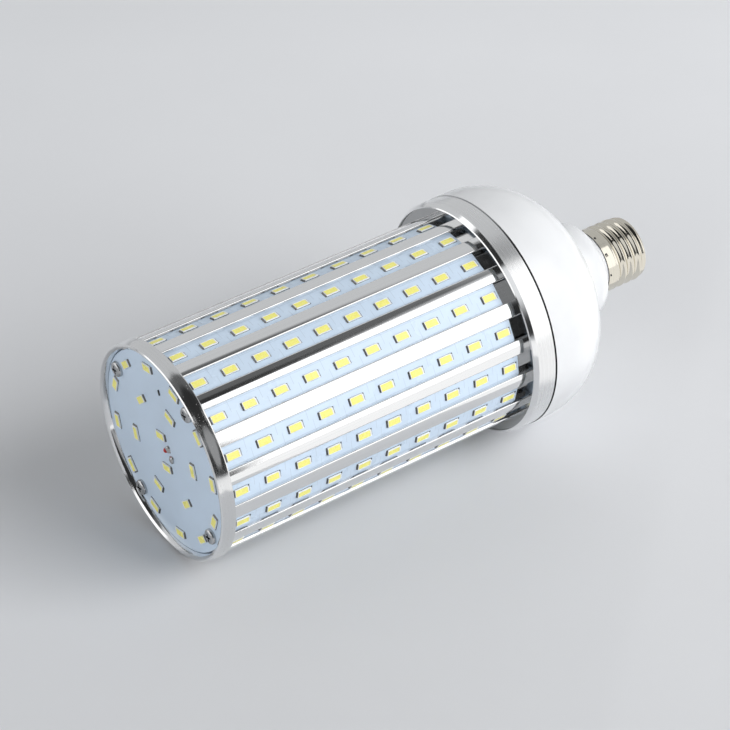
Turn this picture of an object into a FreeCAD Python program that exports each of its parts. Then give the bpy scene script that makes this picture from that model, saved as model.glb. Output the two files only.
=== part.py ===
"""Corn LED bulb with an E27 screw cap, standing on its head.

Units are millimetres. +Z is the bulb's own axis, from the flat rim of the light end at z = 0
up to the centre contact of the screw cap. Strip 01 faces +X.
"""
import FreeCAD, Part
import math
import os

V = FreeCAD.Vector
AXIS = V(0, 0, 1)
ORIGIN = V(0, 0, 0)

# Light chips, a flat surface mount package
chip_length = 5.7
chip_width = 3.0
chip_height = 1.0
chip_bevel = 0.25

# Light strips round the body
strip_count = 18
chips_per_strip = 10
strip_face_radius = 40.0
strip_width = 10.0
strip_thickness = 1.5
strip_setback = 3.9
first_chip_offset = 4.2
last_chip_offset = 4.07

# Heat sink extrusion: a slotted tube with one rib between each two strips
sink_length = 128.9
sink_wall = 3.0
rib_rise = 1.6
rib_width = 5.9
rib_edge_radius = 0.45
slot_clearance = 0.15
port_radius = 3.2
port_hole_radius = 1.25
port_inset = 0.4
port_angle = 50.5
port_count = 4

# End ring and the round light board that lies in it
ring_overhang = 0.8
ring_wall = 3.0
ring_length = 5.4
flange_reach = 5.5
ring_outer_round = 0.5
ring_cone = 1.8
ring_edge_round = 0.2
board_recess = 2.3
board_thickness = 1.5
board_clearance = 0.2
end_circle_counts = (2, 6, 12)
end_circle_angles = (5.5, 35.5, 5.5)
end_circle_margin = 5.1
end_inner_radius = 6.7
joint_circle_radii = (4.3, 5.0)
joint_angles = (62.0, 111.0)
solder_radius = 1.6
solder_height = 1.2

# Pan head screws of the end board and of the collar
screw_head_radius = 3.0
screw_head_height = 1.7
screw_head_round = 1.1
screw_cross_length = 3.2
screw_cross_width = 0.8
screw_cross_depth = 0.9
screw_grip = 6.0
screw_hole_clearance = 0.25

# Collar between the heat sink and the plastic housing
collar_ledge = 3.0
collar_wall = 1.9
collar_length = 9.2
collar_recess = 0.8
collar_floor = 2.5
collar_lip_round = 0.9
collar_inner_round = 0.4

# Plastic housing: a dome with a neck, hollow, plugged into the collar
dome_step = 0.2
dome_straight = 6.6
dome_arc_centre = 17.5
housing_wall = 2.2
groove_width = 0.5
groove_depth = 0.9
neck_radius = 19.65
neck_straight = 7.15
neck_arc_radius = 7.2
neck_blend = 1.6
plug_depth = 4.6
plug_clearance = 0.15
plug_wall = 2.0
guide_depth = 0.8

# Screw cap
cap_radius = 13.1
cap_sheet = 0.4
cap_skirt = 6.55
cap_fit = 0.05
cap_ledge = 0.3
thread_crest_drop = 0.05
thread_depth = 1.0
thread_pitch = 3.63
thread_turns = 4
cap_end_length = 1.3
cap_end_lip = 0.85
cap_end_round = 1.1
insulator_height = 4.4
insulator_rim = 0.7
insulator_lap = 1.2
contact_radius = 4.9
contact_height = 1.6
contact_round = 1.0
spigot_wall = 1.9
spigot_end_gap = 0.4

# Driver circuit inside the housing; a place is (across, height above the collar's floor)
driver_thickness = 1.6
driver_margin = 0.1
driver_seat = 2.2
transformer_size = (16.0, 12.0, 15.0)
transformer_round = 1.5
transformer_place = (-5.5, 21.2)
capacitor_radius = 4.5
capacitor_length = 12.0
capacitor_round = 0.75
capacitor_places = ((9.5, 9.2), (9.5, 27.2))
choke_radius = 4.0
choke_flange_radius = 5.2
choke_height = 8.0
choke_flange = 1.4
choke_place = (-6.0, 8.2)
rectifier_size = (8.0, 3.0, 7.0)
rectifier_drop = 10.1
lead_radius = 0.7
lead_bend = 2.2
led_lead_rise = 13.2
neutral_gap = 3.25
lead_hole_clearance = 0.15

# Radii and fits that follow from the sizes above
strip_step = 360.0 / strip_count
strip_length = sink_length - strip_setback
chip_pitch = (strip_length - first_chip_offset - last_chip_offset) / (chips_per_strip - 1)
slot_floor_radius = strip_face_radius - strip_thickness
slot_half_width = strip_width / 2 + slot_clearance
lip_under_radius = strip_face_radius + slot_clearance
rib_top_radius = strip_face_radius + rib_rise
sink_bore_radius = slot_floor_radius - sink_wall
port_circle_radius = sink_bore_radius - port_inset
ring_radius = rib_top_radius + ring_overhang
ring_bore = ring_radius - ring_wall
ring_mouth = ring_bore + ring_cone
ring_flange_bore = sink_bore_radius - flange_reach
end_board_radius = ring_bore - board_clearance
end_outer_radius = end_board_radius - end_circle_margin
end_circle_step = (end_outer_radius - end_inner_radius) / (len(end_circle_counts) - 1)
collar_inner = rib_top_radius + collar_ledge
collar_radius = collar_inner + collar_wall
plug_radius = collar_inner - plug_clearance
dome_radius = collar_radius + dome_step
dome_arc_radius = dome_radius - dome_arc_centre
neck_bore = neck_radius - housing_wall
neck_arc_centre = neck_radius - neck_arc_radius
shoulder_radius = cap_radius + cap_ledge
spigot_radius = cap_radius - cap_sheet - cap_fit
spigot_bore = spigot_radius - spigot_wall
spigot_length = cap_skirt - spigot_end_gap
thread_crest = cap_radius - thread_crest_drop
thread_root = thread_crest - thread_depth
cap_side_radius = (thread_crest + thread_root) / 2
cap_end_radius = cap_side_radius - cap_end_round - cap_end_lip
insulator_top_radius = contact_radius + insulator_rim
driver_half_width = neck_bore + guide_depth - driver_margin
collar_bore = driver_half_width - driver_seat
neutral_offset = spigot_bore - neutral_gap
screw_hole_radius = port_hole_radius + screw_hole_clearance
lead_hole_radius = lead_radius + lead_hole_clearance

# Levels along the axis
board_face_z = board_recess
board_back_z = board_face_z + board_thickness
sink_z = ring_length
sink_end_z = sink_z + sink_length
collar_z = sink_end_z - collar_recess
collar_back_z = collar_z + collar_length
floor_back_z = sink_end_z + collar_floor
dome_z = collar_back_z + groove_width
dome_arc_z = dome_z + dome_straight
neck_z = dome_arc_z + math.sqrt(dome_arc_radius ** 2 - (neck_radius - dome_arc_centre) ** 2)
neck_arc_z = neck_z + neck_straight
driver_top_z = neck_arc_z
shoulder_z = neck_arc_z + math.sqrt(neck_arc_radius ** 2 - (shoulder_radius - neck_arc_centre) ** 2)
thread_z = shoulder_z + cap_skirt
thread_end_z = thread_z + thread_turns * thread_pitch - thread_pitch / 4
cap_end_z = thread_end_z + cap_end_length
contact_z = cap_end_z - insulator_lap + insulator_height


def polar(radius, angle, z=0.0):
    """Point at a radius and an angle in degrees about the axis."""
    turn = math.radians(angle)
    return V(radius * math.cos(turn), radius * math.sin(turn), z)


def on_radius(radius, height):
    """Point of a half section, in the XZ plane."""
    return V(radius, 0, height)


def line(start, end):
    return Part.LineSegment(start, end).toShape()


def arc_about(centre, radius, start, end):
    """Arc in the XZ plane about a centre, between two angles in degrees from +X towards +Z."""
    points = []
    for angle in (start, (start + end) / 2, end):
        turn = math.radians(angle)
        points.append(centre + V(radius * math.cos(turn), 0, radius * math.sin(turn)))
    return Part.Arc(*points).toShape()


def close_section(edges):
    """Join the open run of section edges through the axis and spin it once round."""
    first = edges[0].valueAt(edges[0].FirstParameter)
    last = edges[-1].valueAt(edges[-1].LastParameter)
    foot = V(0, 0, first.z)
    top = V(0, 0, last.z)
    wire = Part.Wire([line(foot, first)] + edges + [line(last, top), line(top, foot)])
    return Part.Face(wire).revolve(ORIGIN, AXIS, 360)


def spin_outline(points):
    """Spin a closed outline of (radius, height) points once round the axis."""
    corners = [on_radius(radius, height) for radius, height in points]
    wire = Part.makePolygon(corners + corners[:1])
    return Part.Face(wire).revolve(ORIGIN, AXIS, 360)


def disc(radius, height, z, place=ORIGIN):
    return Part.makeCylinder(radius, height, V(place.x, place.y, z))


def box_about(centre, size):
    """Box with its centre in X and Y, standing on its own floor."""
    corner = V(centre.x - size[0] / 2, centre.y - size[1] / 2, centre.z)
    return Part.makeBox(*size, corner)


def circle_edges(shape, radius, z):
    """Full circle edges of a turned shape at one radius and height."""
    found = []
    for edge in shape.Edges:
        curve = edge.Curve
        if isinstance(curve, Part.Circle) and abs(curve.Radius - radius) < 1e-4:
            if abs(curve.Center.z - z) < 1e-4:
                found.append(edge)
    return found


def port_points(z):
    """Centres of the four screw ports."""
    step = 360.0 / port_count
    return [polar(port_circle_radius, port_angle + step * k, z) for k in range(port_count)]


def joint_points(z):
    """Centres of the two solder joints of the end board."""
    return [polar(radius, angle, z) for radius, angle in zip(joint_circle_radii, joint_angles)]


def sector_points(strip_angle):
    """Outline of one strip slot, from the rib before it to the rib after it."""
    half = math.radians(strip_step / 2)
    side = rib_width / 2

    def rib_side(radius):
        return (radius * math.sin(half) - side) / math.cos(half)

    top_angle = half - math.asin(side / rib_top_radius)
    corner = (rib_top_radius * math.cos(top_angle), rib_top_radius * math.sin(top_angle))
    lip = (lip_under_radius, rib_side(lip_under_radius))
    groove = (lip_under_radius, slot_half_width)
    floor = (slot_floor_radius, slot_half_width)
    right = [corner, lip, groove, floor]
    flat = [(u, -v) for u, v in right] + right[::-1]
    turn = FreeCAD.Rotation(AXIS, strip_angle)
    return [turn.multVec(V(u, v, 0)) for u, v in flat]


def make_heat_sink():
    """Slotted extrusion: T ribs lap over the strip edges, four screw ports run down the bore."""
    edges = []
    sectors = [sector_points(strip_step * k) for k in range(strip_count)]
    for k, points in enumerate(sectors):
        for start, end in zip(points, points[1:]):
            edges.append(line(start, end))
        crown = polar(rib_top_radius, strip_step * (k + 0.5))
        after = sectors[(k + 1) % strip_count][0]
        edges.append(Part.Arc(points[-1], crown, after).toShape())
    outer = Part.Face(Part.Wire(edges)).extrude(V(0, 0, sink_length))
    corners = [edge for edge in outer.Edges if is_rib_corner(edge)]
    outer = outer.makeFillet(rib_edge_radius, corners)
    bore = disc(sink_bore_radius, sink_length, 0)
    for centre in port_points(0):
        bore = bore.cut(disc(port_radius, sink_length, 0, centre))
    sink = outer.cut(bore)
    for centre in port_points(0):
        sink = sink.cut(disc(port_hole_radius, sink_length, 0, centre))
    sink.translate(V(0, 0, sink_z))
    return sink


def is_rib_corner(edge):
    """True for the long edges at the two sides of a rib's crown."""
    start = edge.Vertexes[0].Point
    end = edge.Vertexes[-1].Point
    upright = abs(abs(start.z - end.z) - sink_length) < 1e-4
    return upright and abs(math.hypot(start.x, start.y) - rib_top_radius) < 1e-4


def make_strip():
    """Circuit board of one strip, facing +X."""
    corner = V(slot_floor_radius, -strip_width / 2, sink_z)
    return Part.makeBox(strip_thickness, strip_width, strip_length, corner)


def chip_at(rise, along, across, centre):
    """One chip: a low block with its emitting edges bevelled, standing on the point centre."""
    low = Part.makeBox(chip_length, chip_width, chip_height, V(-chip_length / 2, -chip_width / 2, 0))
    rim = [edge for edge in low.Edges if min(vertex.Z for vertex in edge.Vertexes) > chip_height / 2]
    chip = low.makeChamfer(chip_bevel, rim)
    chip.Placement = FreeCAD.Placement(centre, FreeCAD.Rotation(along, across, rise, "ZXY"))
    return chip


def make_strip_chips():
    """The row of chips of one strip, on the strip that faces +X."""
    chips = []
    for row in range(chips_per_strip):
        centre = V(strip_face_radius, 0, sink_z + first_chip_offset + row * chip_pitch)
        chips.append(chip_at(V(1, 0, 0), V(0, 0, 1), V(0, 1, 0), centre))
    return Part.makeCompound(chips)


def turned(shape, angle):
    """Copy of a shape, turned about the axis."""
    copy = shape.copy()
    copy.rotate(ORIGIN, AXIS, angle)
    return copy


def make_end_ring():
    """Turned ring: a wall that opens as a cone in front of the board, and a flange under it."""
    ring = spin_outline((
        (ring_bore, board_face_z),
        (ring_mouth, 0),
        (ring_radius, 0),
        (ring_radius, ring_length),
        (ring_flange_bore, ring_length),
        (ring_flange_bore, board_back_z),
        (ring_bore, board_back_z),
    ))
    ring = ring.makeFillet(ring_outer_round, circle_edges(ring, ring_radius, 0))
    ring = ring.makeFillet(ring_edge_round, circle_edges(ring, ring_mouth, 0))
    for centre in port_points(0):
        ring = ring.cut(disc(screw_hole_radius, ring_length, 0, centre))
    return ring


def make_end_board():
    """Round board with four screw holes and two lead holes."""
    board = disc(end_board_radius, board_thickness, board_face_z)
    for centre in port_points(0):
        board = board.cut(disc(screw_hole_radius, board_thickness, board_face_z, centre))
    for place in joint_points(board_face_z):
        board = board.cut(disc(lead_hole_radius, board_thickness, board_face_z, place))
    return board


def make_end_chips():
    """Three circles of chips on the end board, each chip's length along its circle."""
    chips = []
    for circle, count in enumerate(end_circle_counts):
        radius = end_inner_radius + end_circle_step * circle
        for k in range(count):
            angle = end_circle_angles[circle] + 360.0 / count * k
            outward = polar(1, angle)
            tangent = polar(1, angle + 90)
            chips.append(chip_at(V(0, 0, -1), tangent, -outward, polar(radius, angle, board_face_z)))
    return Part.makeCompound(chips)


def make_solder():
    """Two low solder domes on the end board, each with its lead's end inside."""
    domes = []
    ball_radius = (solder_radius ** 2 + solder_height ** 2) / (2 * solder_height)
    for place in joint_points(board_face_z - solder_height):
        ball = Part.makeSphere(ball_radius, place + AXIS * ball_radius)
        domes.append(ball.common(disc(solder_radius, solder_height, place.z, place)))
    return Part.makeCompound(domes)


def pan_screw(grip):
    """Pan head screw with a cross recess: the head's seat at z = 0, the shank up to z = grip."""
    head = disc(screw_head_radius, screw_head_height, -screw_head_height)
    head = head.makeFillet(screw_head_round, circle_edges(head, screw_head_radius, -screw_head_height))
    for spread in ((screw_cross_length, screw_cross_width), (screw_cross_width, screw_cross_length)):
        head = head.cut(box_about(V(0, 0, -screw_head_height), (*spread, screw_cross_depth)))
    return head.fuse(disc(port_hole_radius, grip, 0)).removeSplitter()


def make_end_screws():
    """Screws through the end board and the ring's flange into the ports."""
    grip = sink_z - board_face_z + screw_grip
    screws = []
    for centre in port_points(board_face_z):
        screw = pan_screw(grip)
        screw.translate(centre)
        screws.append(screw)
    return Part.makeCompound(screws)


def make_collar_screws():
    """Screws through the collar's floor into the far ends of the ports."""
    grip = collar_floor + screw_grip
    screws = []
    for centre in port_points(floor_back_z):
        screw = pan_screw(grip)
        screw.rotate(ORIGIN, V(1, 0, 0), 180)
        screw.translate(centre)
        screws.append(screw)
    return Part.makeCompound(screws)


def make_collar():
    """Turned collar: a round lip stands proud of a floor that the ribs end on."""
    collar = spin_outline((
        (collar_inner, collar_z),
        (collar_radius, collar_z),
        (collar_radius, collar_back_z),
        (collar_inner, collar_back_z),
        (collar_inner, floor_back_z),
        (collar_bore, floor_back_z),
        (collar_bore, sink_end_z),
        (collar_inner, sink_end_z),
    ))
    collar = collar.makeFillet(collar_lip_round, circle_edges(collar, collar_radius, collar_z))
    collar = collar.makeFillet(collar_inner_round, circle_edges(collar, collar_inner, collar_z))
    for centre in port_points(0):
        collar = collar.cut(disc(screw_hole_radius, collar_floor, sink_end_z, centre))
    return collar


def housing_form(inset):
    """Dome and neck as one turned solid, all walls set in by the inset."""
    dome_centre = on_radius(dome_arc_centre, dome_arc_z)
    dome_arc = dome_arc_radius - inset
    dome_turn = math.degrees(math.acos((neck_radius - inset - dome_centre.x) / dome_arc))
    dome_top = dome_centre.z + dome_arc * math.sin(math.radians(dome_turn))
    neck_centre = on_radius(neck_arc_centre, neck_arc_z)
    neck_arc = neck_arc_radius - inset
    end_radius = shoulder_radius - inset
    neck_turn = math.degrees(math.acos((end_radius - neck_centre.x) / neck_arc))
    edges = [
        line(on_radius(dome_radius - inset, dome_z), on_radius(dome_radius - inset, dome_arc_z)),
        arc_about(dome_centre, dome_arc, 0, dome_turn),
        line(on_radius(neck_radius - inset, dome_top), on_radius(neck_radius - inset, neck_arc_z)),
        arc_about(neck_centre, neck_arc, 0, neck_turn),
    ]
    return close_section(edges)


def make_housing():
    """Hollow dome with a plug for the collar, a spigot for the cap and two board guides."""
    shell = housing_form(0)
    shell = shell.makeFillet(neck_blend, circle_edges(shell, neck_radius, neck_z))
    hollow = housing_form(housing_wall)
    plug_z = collar_back_z - plug_depth
    plug = disc(plug_radius, collar_back_z - plug_z, plug_z)
    groove = disc(dome_radius - groove_depth, groove_width, collar_back_z)
    spigot = disc(spigot_radius, spigot_length, shoulder_z)
    body = shell.fuse([plug, groove, spigot])
    passage = disc(plug_radius - plug_wall, dome_z - plug_z, plug_z)
    throat = disc(spigot_bore, shoulder_z + spigot_length - neck_arc_z, neck_arc_z)
    guide_size = (2 * (neck_bore + guide_depth), driver_thickness, driver_top_z - dome_z)
    guide = box_about(V(0, 0, dome_z), guide_size)
    return body.cut(hollow).cut(passage).cut(throat).cut(guide)


def cap_section(inset):
    """Half section of the cap's sheet from the skirt to the end, set in by the inset."""
    quarter = thread_pitch / 4
    rise = thread_depth / 2
    roll = (quarter ** 2 + rise ** 2) / (2 * rise)
    sweep = math.degrees(math.asin(quarter / roll))
    crest_centre = thread_crest - roll
    root_centre = thread_root + roll
    edges = [
        line(on_radius(cap_radius - inset, shoulder_z), on_radius(cap_radius - inset, thread_z)),
        line(on_radius(cap_radius - inset, thread_z), on_radius(thread_crest - inset, thread_z)),
        arc_about(on_radius(crest_centre, thread_z), roll - inset, 0, sweep),
    ]
    for turn in range(thread_turns):
        base = thread_z + turn * thread_pitch
        if turn > 0:
            edges.append(arc_about(on_radius(crest_centre, base), roll - inset, -sweep, sweep))
        root_z = base + 2 * quarter
        edges.append(arc_about(on_radius(root_centre, root_z), roll + inset, 180 + sweep, 180 - sweep))
    last = edges[-1].valueAt(edges[-1].LastParameter)
    turn_z = cap_end_z - cap_end_round
    edges.append(line(last, on_radius(cap_side_radius - inset, turn_z)))
    turn_centre = on_radius(cap_side_radius - cap_end_round, turn_z)
    edges.append(arc_about(turn_centre, cap_end_round - inset, 0, 90))
    return edges


def make_cap_shell():
    """Pressed sheet cap: a plain skirt, rolled thread turns and a turned-in end."""
    outer = close_section(cap_section(0))
    inner = close_section(cap_section(cap_sheet))
    mouth = disc(cap_end_radius, cap_sheet, cap_end_z - cap_sheet)
    return outer.cut(inner).cut(mouth)


def make_insulator():
    """Glass cone in the cap's mouth, with the live lead's hole."""
    base_z = cap_end_z - insulator_lap
    cone = spin_outline((
        (0, base_z),
        (cap_end_radius, base_z),
        (cap_end_radius, cap_end_z),
        (insulator_top_radius, contact_z),
        (0, contact_z),
    ))
    return cone.cut(disc(lead_hole_radius, insulator_height, base_z))


def make_contact():
    """Centre contact: a low button on the insulator."""
    button = disc(contact_radius, contact_height, contact_z)
    return button.makeFillet(contact_round, circle_edges(button, contact_radius, contact_z + contact_height))


def make_driver_board():
    """Upright board that stands on the collar's floor, its edges in the neck's guides."""
    size = (2 * driver_half_width, driver_thickness, driver_top_z - floor_back_z)
    return box_about(V(0, 0, floor_back_z), size)


def on_driver(place, depth):
    """Middle of the foot of a body of some depth that lies on the driver board's -Y face."""
    across, height = place
    return V(across, -(driver_thickness + depth) / 2, floor_back_z + height)


def make_transformer():
    """Taped transformer: a block with its upright edges rounded."""
    block = box_about(on_driver(transformer_place, transformer_size[1]), transformer_size)
    upright = [edge for edge in block.Edges if edge.Vertexes[0].Z != edge.Vertexes[-1].Z]
    return block.makeFillet(transformer_round, upright)


def make_capacitors():
    """Two electrolytic cans that lie against the board, upright."""
    cans = []
    for place in capacitor_places:
        centre = on_driver(place, 2 * capacitor_radius)
        can = disc(capacitor_radius, capacitor_length, centre.z, centre)
        rim = circle_edges(can, capacitor_radius, centre.z + capacitor_length)
        cans.append(can.makeFillet(capacitor_round, rim))
    return Part.makeCompound(cans)


def make_choke():
    """Drum choke, standing out from the board."""
    drum = spin_outline((
        (0, 0),
        (choke_flange_radius, 0),
        (choke_flange_radius, choke_flange),
        (choke_radius, choke_flange),
        (choke_radius, choke_height - choke_flange),
        (choke_flange_radius, choke_height - choke_flange),
        (choke_flange_radius, choke_height),
        (0, choke_height),
    ))
    drum.rotate(ORIGIN, V(1, 0, 0), 90)
    drum.translate(on_driver(choke_place, 0))
    return drum


def make_rectifier():
    """Bridge rectifier block flat on the board."""
    height = driver_top_z - floor_back_z - rectifier_drop
    return box_about(on_driver((0.0, height), rectifier_size[1]), rectifier_size)


def bent_lead(start, corner, end):
    """Round wire from start to end with one bend of the lead's radius at the corner."""
    inward = (start - corner).normalize()
    outward = (end - corner).normalize()
    before = corner + inward * lead_bend
    after = corner + outward * lead_bend
    centre = before + outward * lead_bend
    middle = centre + (corner - centre).normalize() * lead_bend
    path = Part.Wire([line(start, before), Part.Arc(before, middle, after).toShape(), line(after, end)])
    ring = Part.Wire([Part.makeCircle(lead_radius, start, corner - start)])
    return path.makePipeShell([ring], True, False)


def make_led_lead(start):
    """Lead from a solder joint on the end board up the bore to the driver board's face."""
    corner = V(start.x, start.y, floor_back_z + led_lead_rise)
    return bent_lead(start, corner, V(start.x, driver_thickness / 2, corner.z))


def make_live_lead():
    """Straight lead from the driver board's top edge to the centre contact."""
    return disc(lead_radius, contact_z - driver_top_z, driver_top_z)


def make_neutral_lead():
    """Lead from the driver board's top edge, over the spigot, to the inside of the cap's sheet."""
    start = V(neutral_offset, 0, driver_top_z)
    corner = V(neutral_offset, 0, thread_z + thread_pitch / 2)
    return bent_lead(start, corner, V(thread_root - cap_sheet - cap_fit, 0, corner.z))


def save(name, shape):
    shape.exportStep("parts/%s.step" % name)


def main():
    os.makedirs("parts", exist_ok=True)
    save("end_ring", make_end_ring())
    save("end_board", make_end_board())
    save("end_chips", make_end_chips())
    save("end_solder", make_solder())
    save("end_screws", make_end_screws())
    save("heat_sink", make_heat_sink())
    strip = make_strip()
    chips = make_strip_chips()
    for k in range(strip_count):
        save("led_board_%02d" % (k + 1), turned(strip, strip_step * k))
        save("led_chips_%02d" % (k + 1), turned(chips, strip_step * k))
    save("collar", make_collar())
    save("collar_screws", make_collar_screws())
    save("housing", make_housing())
    save("cap_shell", make_cap_shell())
    save("cap_insulator", make_insulator())
    save("cap_contact", make_contact())
    save("driver_board", make_driver_board())
    save("driver_transformer", make_transformer())
    save("driver_capacitors", make_capacitors())
    save("driver_choke", make_choke())
    save("driver_rectifier", make_rectifier())
    for name, place in zip(("red_lead", "black_lead"), joint_points(board_face_z)):
        save(name, make_led_lead(place))
    save("live_lead", make_live_lead())
    save("neutral_lead", make_neutral_lead())


main()
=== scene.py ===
"""Finishes and fine pieces for a corn LED bulb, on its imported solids, with a plain studio stage.

Lengths are metres in the bulb's own frame: +Z runs from the rim at the light end to the screw cap.
"""

import math

import bmesh
import bpy
from bpy.props import FloatProperty, FloatVectorProperty, IntProperty, IntVectorProperty, PointerProperty
from mathutils import Euler, Matrix, Vector


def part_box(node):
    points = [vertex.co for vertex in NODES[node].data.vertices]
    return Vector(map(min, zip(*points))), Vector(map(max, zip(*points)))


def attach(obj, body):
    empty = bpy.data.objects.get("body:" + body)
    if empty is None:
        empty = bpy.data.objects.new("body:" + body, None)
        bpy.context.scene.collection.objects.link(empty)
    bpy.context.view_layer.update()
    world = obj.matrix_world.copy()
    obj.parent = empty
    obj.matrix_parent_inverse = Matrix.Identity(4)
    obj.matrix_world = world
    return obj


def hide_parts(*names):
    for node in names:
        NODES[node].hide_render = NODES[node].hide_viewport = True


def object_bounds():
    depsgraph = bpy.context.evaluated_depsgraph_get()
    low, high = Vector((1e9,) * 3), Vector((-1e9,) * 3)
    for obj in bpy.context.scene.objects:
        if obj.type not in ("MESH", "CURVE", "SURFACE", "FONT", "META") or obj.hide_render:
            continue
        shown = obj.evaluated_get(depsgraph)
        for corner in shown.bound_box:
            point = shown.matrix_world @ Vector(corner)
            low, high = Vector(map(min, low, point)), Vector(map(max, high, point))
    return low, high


bl_info = {
    "name": "Corn LED Bulb Finish",
    "version": (1, 0, 0),
    "blender": (4, 5, 0),
    "location": "View3D > Sidebar > Bulb",
    "description": "Makes the fine pieces, finishes and stage of a corn LED bulb",
    "category": "Object",
}

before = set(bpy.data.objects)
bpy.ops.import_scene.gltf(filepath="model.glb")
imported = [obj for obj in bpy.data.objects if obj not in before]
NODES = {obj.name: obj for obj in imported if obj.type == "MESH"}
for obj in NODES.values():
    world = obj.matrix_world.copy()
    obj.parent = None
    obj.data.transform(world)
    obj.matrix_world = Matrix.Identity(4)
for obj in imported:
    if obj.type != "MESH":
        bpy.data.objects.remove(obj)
CAD_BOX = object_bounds()
MM = 0.001

RING_LOW, RING_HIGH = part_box("end_ring")
BOARD_LOW, BOARD_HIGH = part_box("end_board")
STRIP_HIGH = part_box("led_board_01")[1]
CHIPS_LOW, CHIPS_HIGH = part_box("led_chips_01")
SINK_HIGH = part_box("heat_sink")[1]
COLLAR_LOW, COLLAR_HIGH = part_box("collar")
HOUSING_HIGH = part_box("housing")[1]
CAP_LOW, CAP_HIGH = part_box("cap_shell")
STRIP_NAMES = sorted(name for name in NODES if name.startswith("led_board_"))

# Points closer than WELD are one point, and SLIVER closes the housing's narrowest faces. HAIR and NEAR tell
# one surface from the next.
WELD, HAIR, SLIVER, NEAR = 0.001 * MM, 0.01 * MM, 0.03 * MM, 0.1 * MM
# Flat faces round a turned piece, round the screw cap and round a lead or its solder, and cuts along one
# turn of the thread
TURNED_FACES, CAP_FACES, LEAD_FACES, THREAD_CUTS = 144, 112, 20, 14
# Part of a pitch in which the thread runs out, and the part of a punched mark's radius painted black as
# shade
RUN_OUT, MARK_SHADE_CORE = 0.35, 0.8
# A solder blob's swell, its lobes and their turn, how far its tip leans, and the lean of the two blobs
BLOB_SWELL, BLOB_LOBES, BLOB_TURN, BLOB_LEAN = 0.16, 3.0, 9.0, 0.5
RED_LEAN, BLACK_LEAN = Vector((0.5, -0.2, 0.0)), Vector((-0.3, 0.4, 0.0))
# The black block's rounded corners and rim as parts of its width, and its hollow as a part of its height;
# the block is a dark thing put as painted shade for a slot in the end board
SLOT_SHADE_ROUND, SLOT_SHADE_RIM, SLOT_SHADE_HOLLOW = 0.4, 0.15, 0.2
# Where the painted shade in the parting line begins and is full towards its shaded side, as parts of the
# housing's radius, and its darkness elsewhere; the painted shade's tint of black
PARTING_SHADE_REACH, PARTING_SHADE_LEAST, PARTING_SHADE_TINT = (0.1, 0.5), 0.12, 1.5
# Tints between which the colours of metal, moulded surfaces and the strips' mask drift
METAL_DRIFT, SURFACE_DRIFT, MASK_DRIFT = (0.93, 1.05), (0.965, 1.02), (0.97, 1.02)
# The tint over a track's edge, the tint of the phosphor's deeper grains, and how far a speck hides the metal
TRACK_TINT, PHOSPHOR_DEEP, SPECK_COVER = 0.78, (0.96, 0.90, 0.7), 0.5
# Roughness of the strips' mask and of the phosphor's window, from and to
MASK_ROUGHNESS, WINDOW_ROUGHNESS = (0.26, 0.38), (0.22, 0.36)
# Parts of a pattern's values that are used: lines, handling marks, phosphor grains, specks and track edges
LINES_RANGE, MARKS_RANGE, GRAINS_RANGE = (0.3, 0.7), (0.32, 0.70), (0.35, 0.65)
SPECKS_RANGE, TRACKS_RANGE = (0.10, 0.22), (0.4, 1.2)
# Parts of the floor's painted falloff of light that follow the distance and the mottle, and the shelf's own
# drift
FLOOR_RANGE, FLOOR_MOTTLE, SHELF_DRIFT = 0.9, 0.1, 0.015
# Edges of the studio's zones, each as the cosines to an axis at which the zone begins and is full
CEILING_EDGE, CEILING_AHEAD = (0.908, 0.932), (-0.03, 0.12)
FLAG_RIGHT, FLAG_UP, FLAG_AHEAD = (-0.12, 0.0), (0.74, 0.80), (0.22, 0.35)
WALL_AHEAD, WINDOW_RIGHT = (-0.35, -0.15), (-0.20, -0.05)
# The room behind the camera reaches further forward as it rises, by ROOM_SLOPE up to ROOM_TOP
ROOM_TOP, ROOM_SLOPE, ROOM_EDGE, ROOM_RIGHT = 0.57, -0.6, (-0.92, -0.84), (0.30, 0.40)
# A chip's finishes by slot; the dark tin of the third slot is painted shade and painted dark reflection
CHIP_FINISHES = ("chip body", "yellow phosphor", "dark terminals")


def length(name, description, default):
    """A length setting in metres."""
    return FloatProperty(name=name, description=description, default=default, unit="LENGTH", precision=5)


def triple(name, description, default, **kind):
    """A setting of three numbers."""
    return FloatVectorProperty(name=name, description=description, default=default, size=3, **kind)


def colour(name, description, default):
    """A colour setting, linear red, green and blue."""
    return triple(name, description, default, subtype="COLOR", min=0.0, max=1.0)


def angle(name, description, default):
    """An angle setting, given here in degrees."""
    return FloatProperty(name=name, description=description, default=math.radians(default), subtype="ANGLE")


def angles(name, description, *default):
    """Three angles, given here in degrees."""
    return triple(name, description, tuple(math.radians(degrees) for degrees in default), subtype="EULER")


def number(name, description, default):
    """A plain number setting."""
    return FloatProperty(name=name, description=description, default=default)


def power(name, description, default):
    """A lamp's power setting."""
    return FloatProperty(name=name, description=description, default=default, unit="POWER")


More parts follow.
